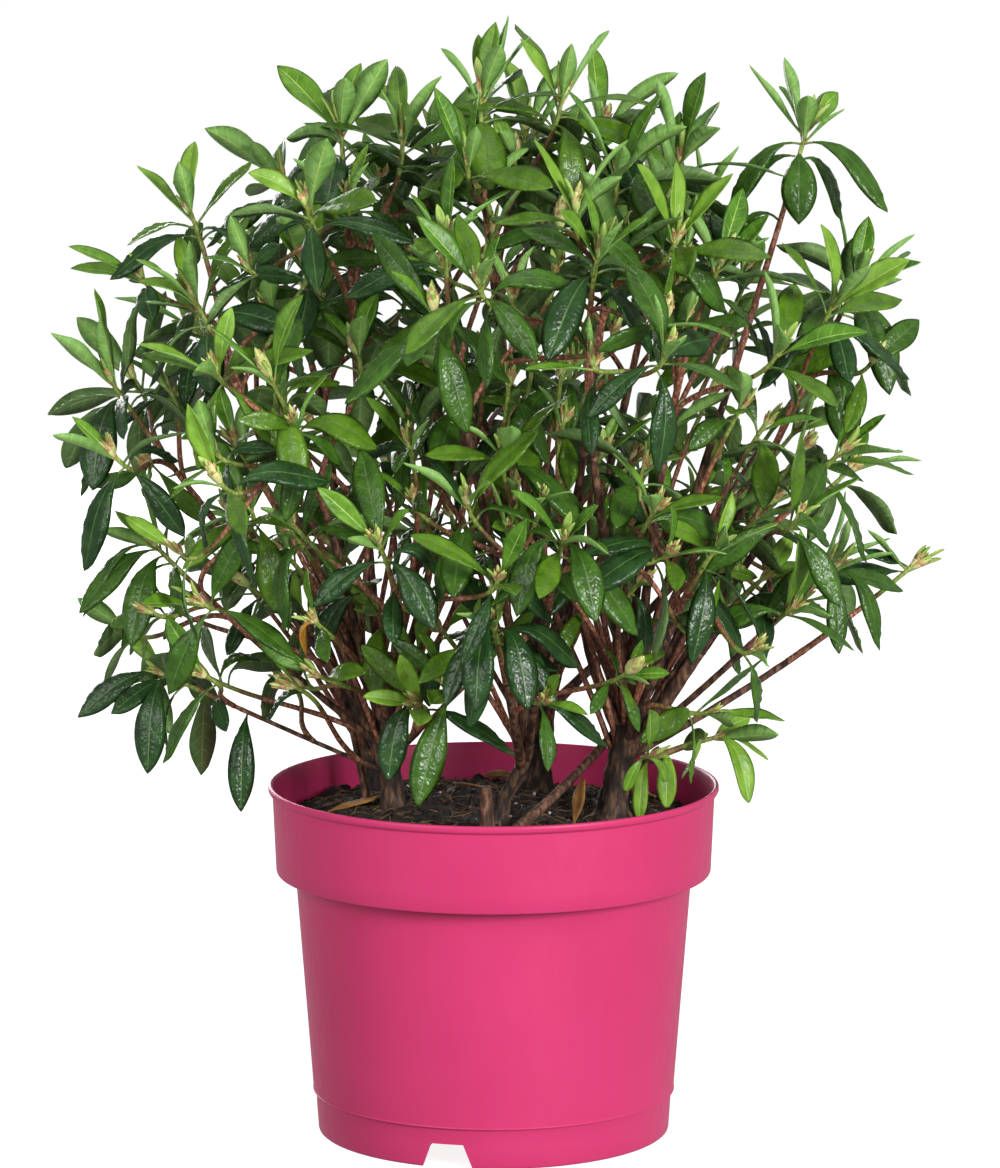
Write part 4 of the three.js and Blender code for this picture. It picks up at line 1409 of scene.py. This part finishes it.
# The skins of blades in the order of their heap's materials, the yellow leaf's among the old ones:
# name, roughness, how rough the net of veins makes it, or 0 for plain stuff, dark and light colour
BLADE_SKINS = {
    "young": [
        ("leaf_young_1", 0.38, 0.3, (67, 106, 16), (98, 140, 40)),
        ("leaf_young_2", 0.38, 0.3, (87, 127, 22), (122, 160, 54)),
        ("leaf_young_3", 0.38, 0.3, (53, 94, 14), (80, 124, 30)),
        ("midrib_young", 0.5, 0, (128, 160, 62), (156, 182, 90)),
        ("vein_young", 0.5, 0, (88, 128, 38), (116, 154, 60)),
        ("underside_young", 0.55, 0.35, (98, 142, 62), (122, 162, 86)),
        ("keel_young", 0.5, 0, (132, 162, 76), (160, 186, 104)),
        ("leaf_new", 0.5, 0.15, (124, 156, 62), (166, 188, 100)),
        ("stalk_young", 0.5, 0, (140, 128, 62), (178, 152, 88)),
    ],
    "old": [
        ("leaf_old_1", 0.28, 0.62, (20, 46, 15), (38, 71, 29)),
        ("leaf_old_2", 0.28, 0.62, (38, 68, 12), (60, 97, 25)),
        ("leaf_old_3", 0.28, 0.62, (55, 88, 8), (84, 120, 26)),
        ("midrib_old", 0.5, 0, (52, 82, 32), (80, 108, 48)),
        ("vein_old", 0.45, 0, (52, 86, 26), (74, 108, 42)),
        ("underside_old", 0.55, 0.4, (72, 102, 48), (98, 128, 70)),
        ("keel_old", 0.5, 0, (104, 132, 76), (130, 156, 98)),
        ("leaf_faded", 0.5, 0.3, (196, 128, 34), (222, 170, 70)),
        ("stalk_old", 0.5, 0, (92, 112, 48), (128, 138, 72)),
    ],
}
MIDRIB_SKIN, VEIN_SKIN, UNDERSIDE_SKIN, KEEL_SKIN, OTHER_SKIN, STALK_SKIN = range(3, 9)
LIGHTER_GREENS = (0.42, 0.86)
YELLOW_PLACE = (-104, -60, 249)

# Dead leaves on the peat: place, the way that each points, in degrees, and how steeply it rises
FALLEN_LEAVES = [
    (40, -50, 72, 1.3),
    (-20, -84, 160, 0.06),
    (-84, -22, 40, 0.06),
    (26, 84, 190, 0.06),
    (84, 34, 130, 0.06),
    (-20, 30, 300, 0.06),
]


def skin(name, roughness, rugosity, *colours):
    if rugosity:
        return leaf_material(name, roughness, rugosity, *colours)
    return plain_stuff(name, roughness, 4, *colours)


def make_leaves(shoots, leaves):
    """Blades in two heaps, young and old, with the green of each dealt out by spray."""
    draw = seeded(501)
    heaps = {
        age: Heap(f"leaves_{age}", [skin(*row) for row in rows], "leaf", FOLIAGE_NODES)
        for age, rows in BLADE_SKINS.items()
    }
    shades = [(int(draw(0, 3)), draw(0, 1)) for _ in shoots]
    fading = [leaf for _, leaf in leaves if leaf.kind in (MIDDLE, OLD, LOW)]
    yellow_leaf = min(fading, key=lambda leaf: math.dist(leaf.middle, YELLOW_PLACE))
    for number, leaf in leaves:
        shade, lightness = shades[number]
        # Sprays low on the left take darker greens: painted shade
        lightness -= LOW_LEFT["painted_shade"] * is_low_left(shoots[number])
        heap, green = heaps["old"], sum(lightness >= least for least in LIGHTER_GREENS)
        if leaf.kind in (LEAFLET, YOUNG, SPRIG, ROUND):
            heap, green = heaps["young"], shade
        elif leaf.kind is MIDDLE:
            green = 1 + (shade > 0)
        vein = green if leaf.kind in (OLD, LOW) else VEIN_SKIN
        skins = np.array([green, MIDRIB_SKIN, vein, UNDERSIDE_SKIN, KEEL_SKIN, STALK_SKIN])
        if leaf.kind is LEAFLET:
            heap.add(leaf.points(PLAIN), LEAFLET_FACES, OTHER_SKIN)
        else:
            looks = OTHER_SKIN if leaf is yellow_leaf else skins[BLADE_LOOKS]
            heap.add(leaf.points(), BLADE_FACES, looks)
    for heap in heaps.values():
        heap.build()


def make_fallen_leaves():
    draw = seeded(503)
    dry = leaf_material("leaf_dry", 0.7, 0.5, (92, 58, 24), (160, 112, 50))
    rib = plain_stuff("midrib_dry", 0.7, 4, (120, 84, 46), (170, 132, 84))
    heap = Heap("fallen_leaves", [dry, rib], "leaf", ["soil"])
    for x, y, bearing, rise in FALLEN_LEAVES:
        axis = unit(way_at(math.radians(bearing)) + UP * rise)
        root = on_peat(x, y, 4.5 if rise < 1 else 0.5)
        leaf = Leaf(FALLEN, root, axis, UP, 1, 1, draw)
        heap.add(leaf.points(), BLADE_FACES, np.isin(BLADE_LOOKS, (MIDRIB, STALK)).astype(int))
    heap.build()


# Buds

# A bud's length, its radius as a share of that, its number of scales, the half width of a scale in
# degrees, how far along the bud the last one starts, how much of it each one covers, how far the
# tip of a scale stands off, and the first of its rows that is brown
Bud = namedtuple("Bud", "length girth scales width last reach stand_off brown_row")
BIG_BUD = Bud((15, 21), (0.14, 0.17), 8, 52, 0.44, 0.54, 0.5, 3)
SLIM_BUD = Bud((9, 15), (0.1, 0.13), 5, 56, 0.3, 0.66, 0.7, 2)
BIG_BUD_SHARE = 0.2
SLIM_BUD_LEAN = (0.12, 0.38)
SCALE_POINTS = 5


def bud_radius(radius, share):
    """The radius of an egg-shaped bud at a share of its length."""
    return radius * np.sin(math.pi * np.clip(share, 0, 1) ** 0.8) ** 0.75


def add_bud(heap, kind, foot, axis, draw):
    """An egg of overlapping scales, each browner at its tip."""
    length = draw(*kind.length)
    radius = length * draw(*kind.girth)
    core = np.linspace(0, 1, 8)
    heap.add(*tube(foot + np.outer(core * length, axis), bud_radius(radius, core) + 0.05, 7), 0)
    even = np.linspace(0, 1, SCALE_POINTS)
    rows, columns = np.meshgrid(even, 2 * even - 1, indexing="ij")
    face_rows = np.tile(np.repeat(np.arange(SCALE_POINTS - 1), SCALE_POINTS - 1), 2)
    side, over = frame_across(axis)
    turn = draw(0, 360)
    for k in range(kind.scales):
        share = kind.last * k / kind.scales + kind.reach * rows
        width = math.radians(kind.width) * np.sin(math.pi * (0.25 + 0.75 * rows) ** 1.2)
        angle = math.radians(turn + GOLDEN_TURN * k) + columns * width
        lift = 0.4 * (1 - columns**2) * (0.3 + rows) + kind.stand_off * rows**3
        out = way_at(angle, side, over) * (bud_radius(radius, share) + lift)[..., None]
        points = foot + axis * (share * length)[..., None] + out
        looks = np.where(face_rows >= kind.brown_row, 2, int(draw(0, 2)))
        heap.add(points.reshape(-1, 3), grid_faces(SCALE_POINTS, SCALE_POINTS), looks)


def make_buds(shoots):
    """In the middle of each whorl, one big bud or two or three slim ones that lean apart."""
    draw = seeded(502)
    looks = [
        plain_stuff("bud_pale", 0.55, 3, (150, 168, 82), (192, 200, 124)),
        plain_stuff("bud_cream", 0.55, 2, (186, 178, 112), (220, 208, 152)),
        plain_stuff("bud_brown", 0.6, 2, (142, 104, 60), (194, 158, 108)),
    ]
    heap = Heap("buds", looks, "leaf", FOLIAGE_NODES)
    for shoot in shoots:
        axis = tangent(shoot.curve, 1)
        foot = shoot.curve[3] - axis * 1.5
        if draw(0, 1) < BIG_BUD_SHARE:
            add_bud(heap, BIG_BUD, foot, axis, draw)
            continue
        count, turn = int(draw(2, 4)), draw(*PHASES)
        for k in range(count):
            out = way_at(turn + FULL_TURN * k / count, *frame_across(axis))
            add_bud(heap, SLIM_BUD, foot, unit(axis + out * draw(*SLIM_BUD_LEAN)), draw)
    heap.build()


# Studio

PHOTO_HEIGHT = 1168
FOCAL_PIXELS = 5979.54
SENSOR = 36
CAMERA_PLACE = (3.3, -3000, 760.93)
CAMERA_PITCH = 0.1581
FLOOR_REACH = 40000
GREY = (0.25, 0.25, 0.25, 1)
WHITE = (1, 1, 1, 1)

# Lights: place, size and power in watts
LIGHTS = {
    "key": ((1650, -2300, 1150), 900, 104),
    "fill": ((-500, -640, 520), 400, 3.2),
    "top": ((200, 300, 2400), 1200, 8),
    "back": ((-800, 2200, 650), 1200, 34),
}
AIM = (0, 0, 300)


def make_camera():
    data = bpy.data.cameras.new("camera")
    data.sensor_width = SENSOR
    data.lens = SENSOR * FOCAL_PIXELS / PHOTO_HEIGHT
    data.clip_end = 100
    camera = add_object("camera", data)
    camera.location = Vector(CAMERA_PLACE) * MM
    camera.rotation_euler = (math.pi / 2 - CAMERA_PITCH, 0, 0)
    bpy.context.scene.camera = camera


def make_studio():
    floor = Look("studio_floor", 0.9, Base_Color=GREY, Emission_Color=WHITE, Emission_Strength=0.87)
    corners = np.array([(-1, -1, 0), (1, -1, 0), (1, 1, 0), (-1, 1, 0)]) * FLOOR_REACH
    ground = add_mesh("floor", corners, np.array([(0, 1, 2), (0, 2, 3)]), [floor.material])
    ground.visible_diffuse = False
    ground.visible_glossy = False
    for name, (place, width, power) in LIGHTS.items():
        data = bpy.data.lights.new(name, "AREA")
        data.size = width * MM
        data.energy = power
        light = add_object(name, data)
        light.location = Vector(place) * MM
        aim = Vector(AIM) * MM - light.location
        light.rotation_euler = aim.to_track_quat("-Z", "Y").to_euler()
    world = bpy.data.worlds.new("studio")
    world.use_nodes = True
    set_values(world.node_tree.nodes["Background"], Color=WHITE, Strength=0.46)
    bpy.context.scene.world = world
    bpy.context.scene.view_settings.view_transform = "Standard"


make_camera()
make_studio()
make_pot()
make_soil()
make_litter()
stems, boughs, shoots, bones = grow()
make_wood(stems, boughs)
make_twigs(shoots)
leaves = grow_leaves(shoots, bones)
make_leaves(shoots, leaves)
make_fallen_leaves()
make_buds(shoots)
print(len(shoots), "shoots", len(leaves), "leaves")
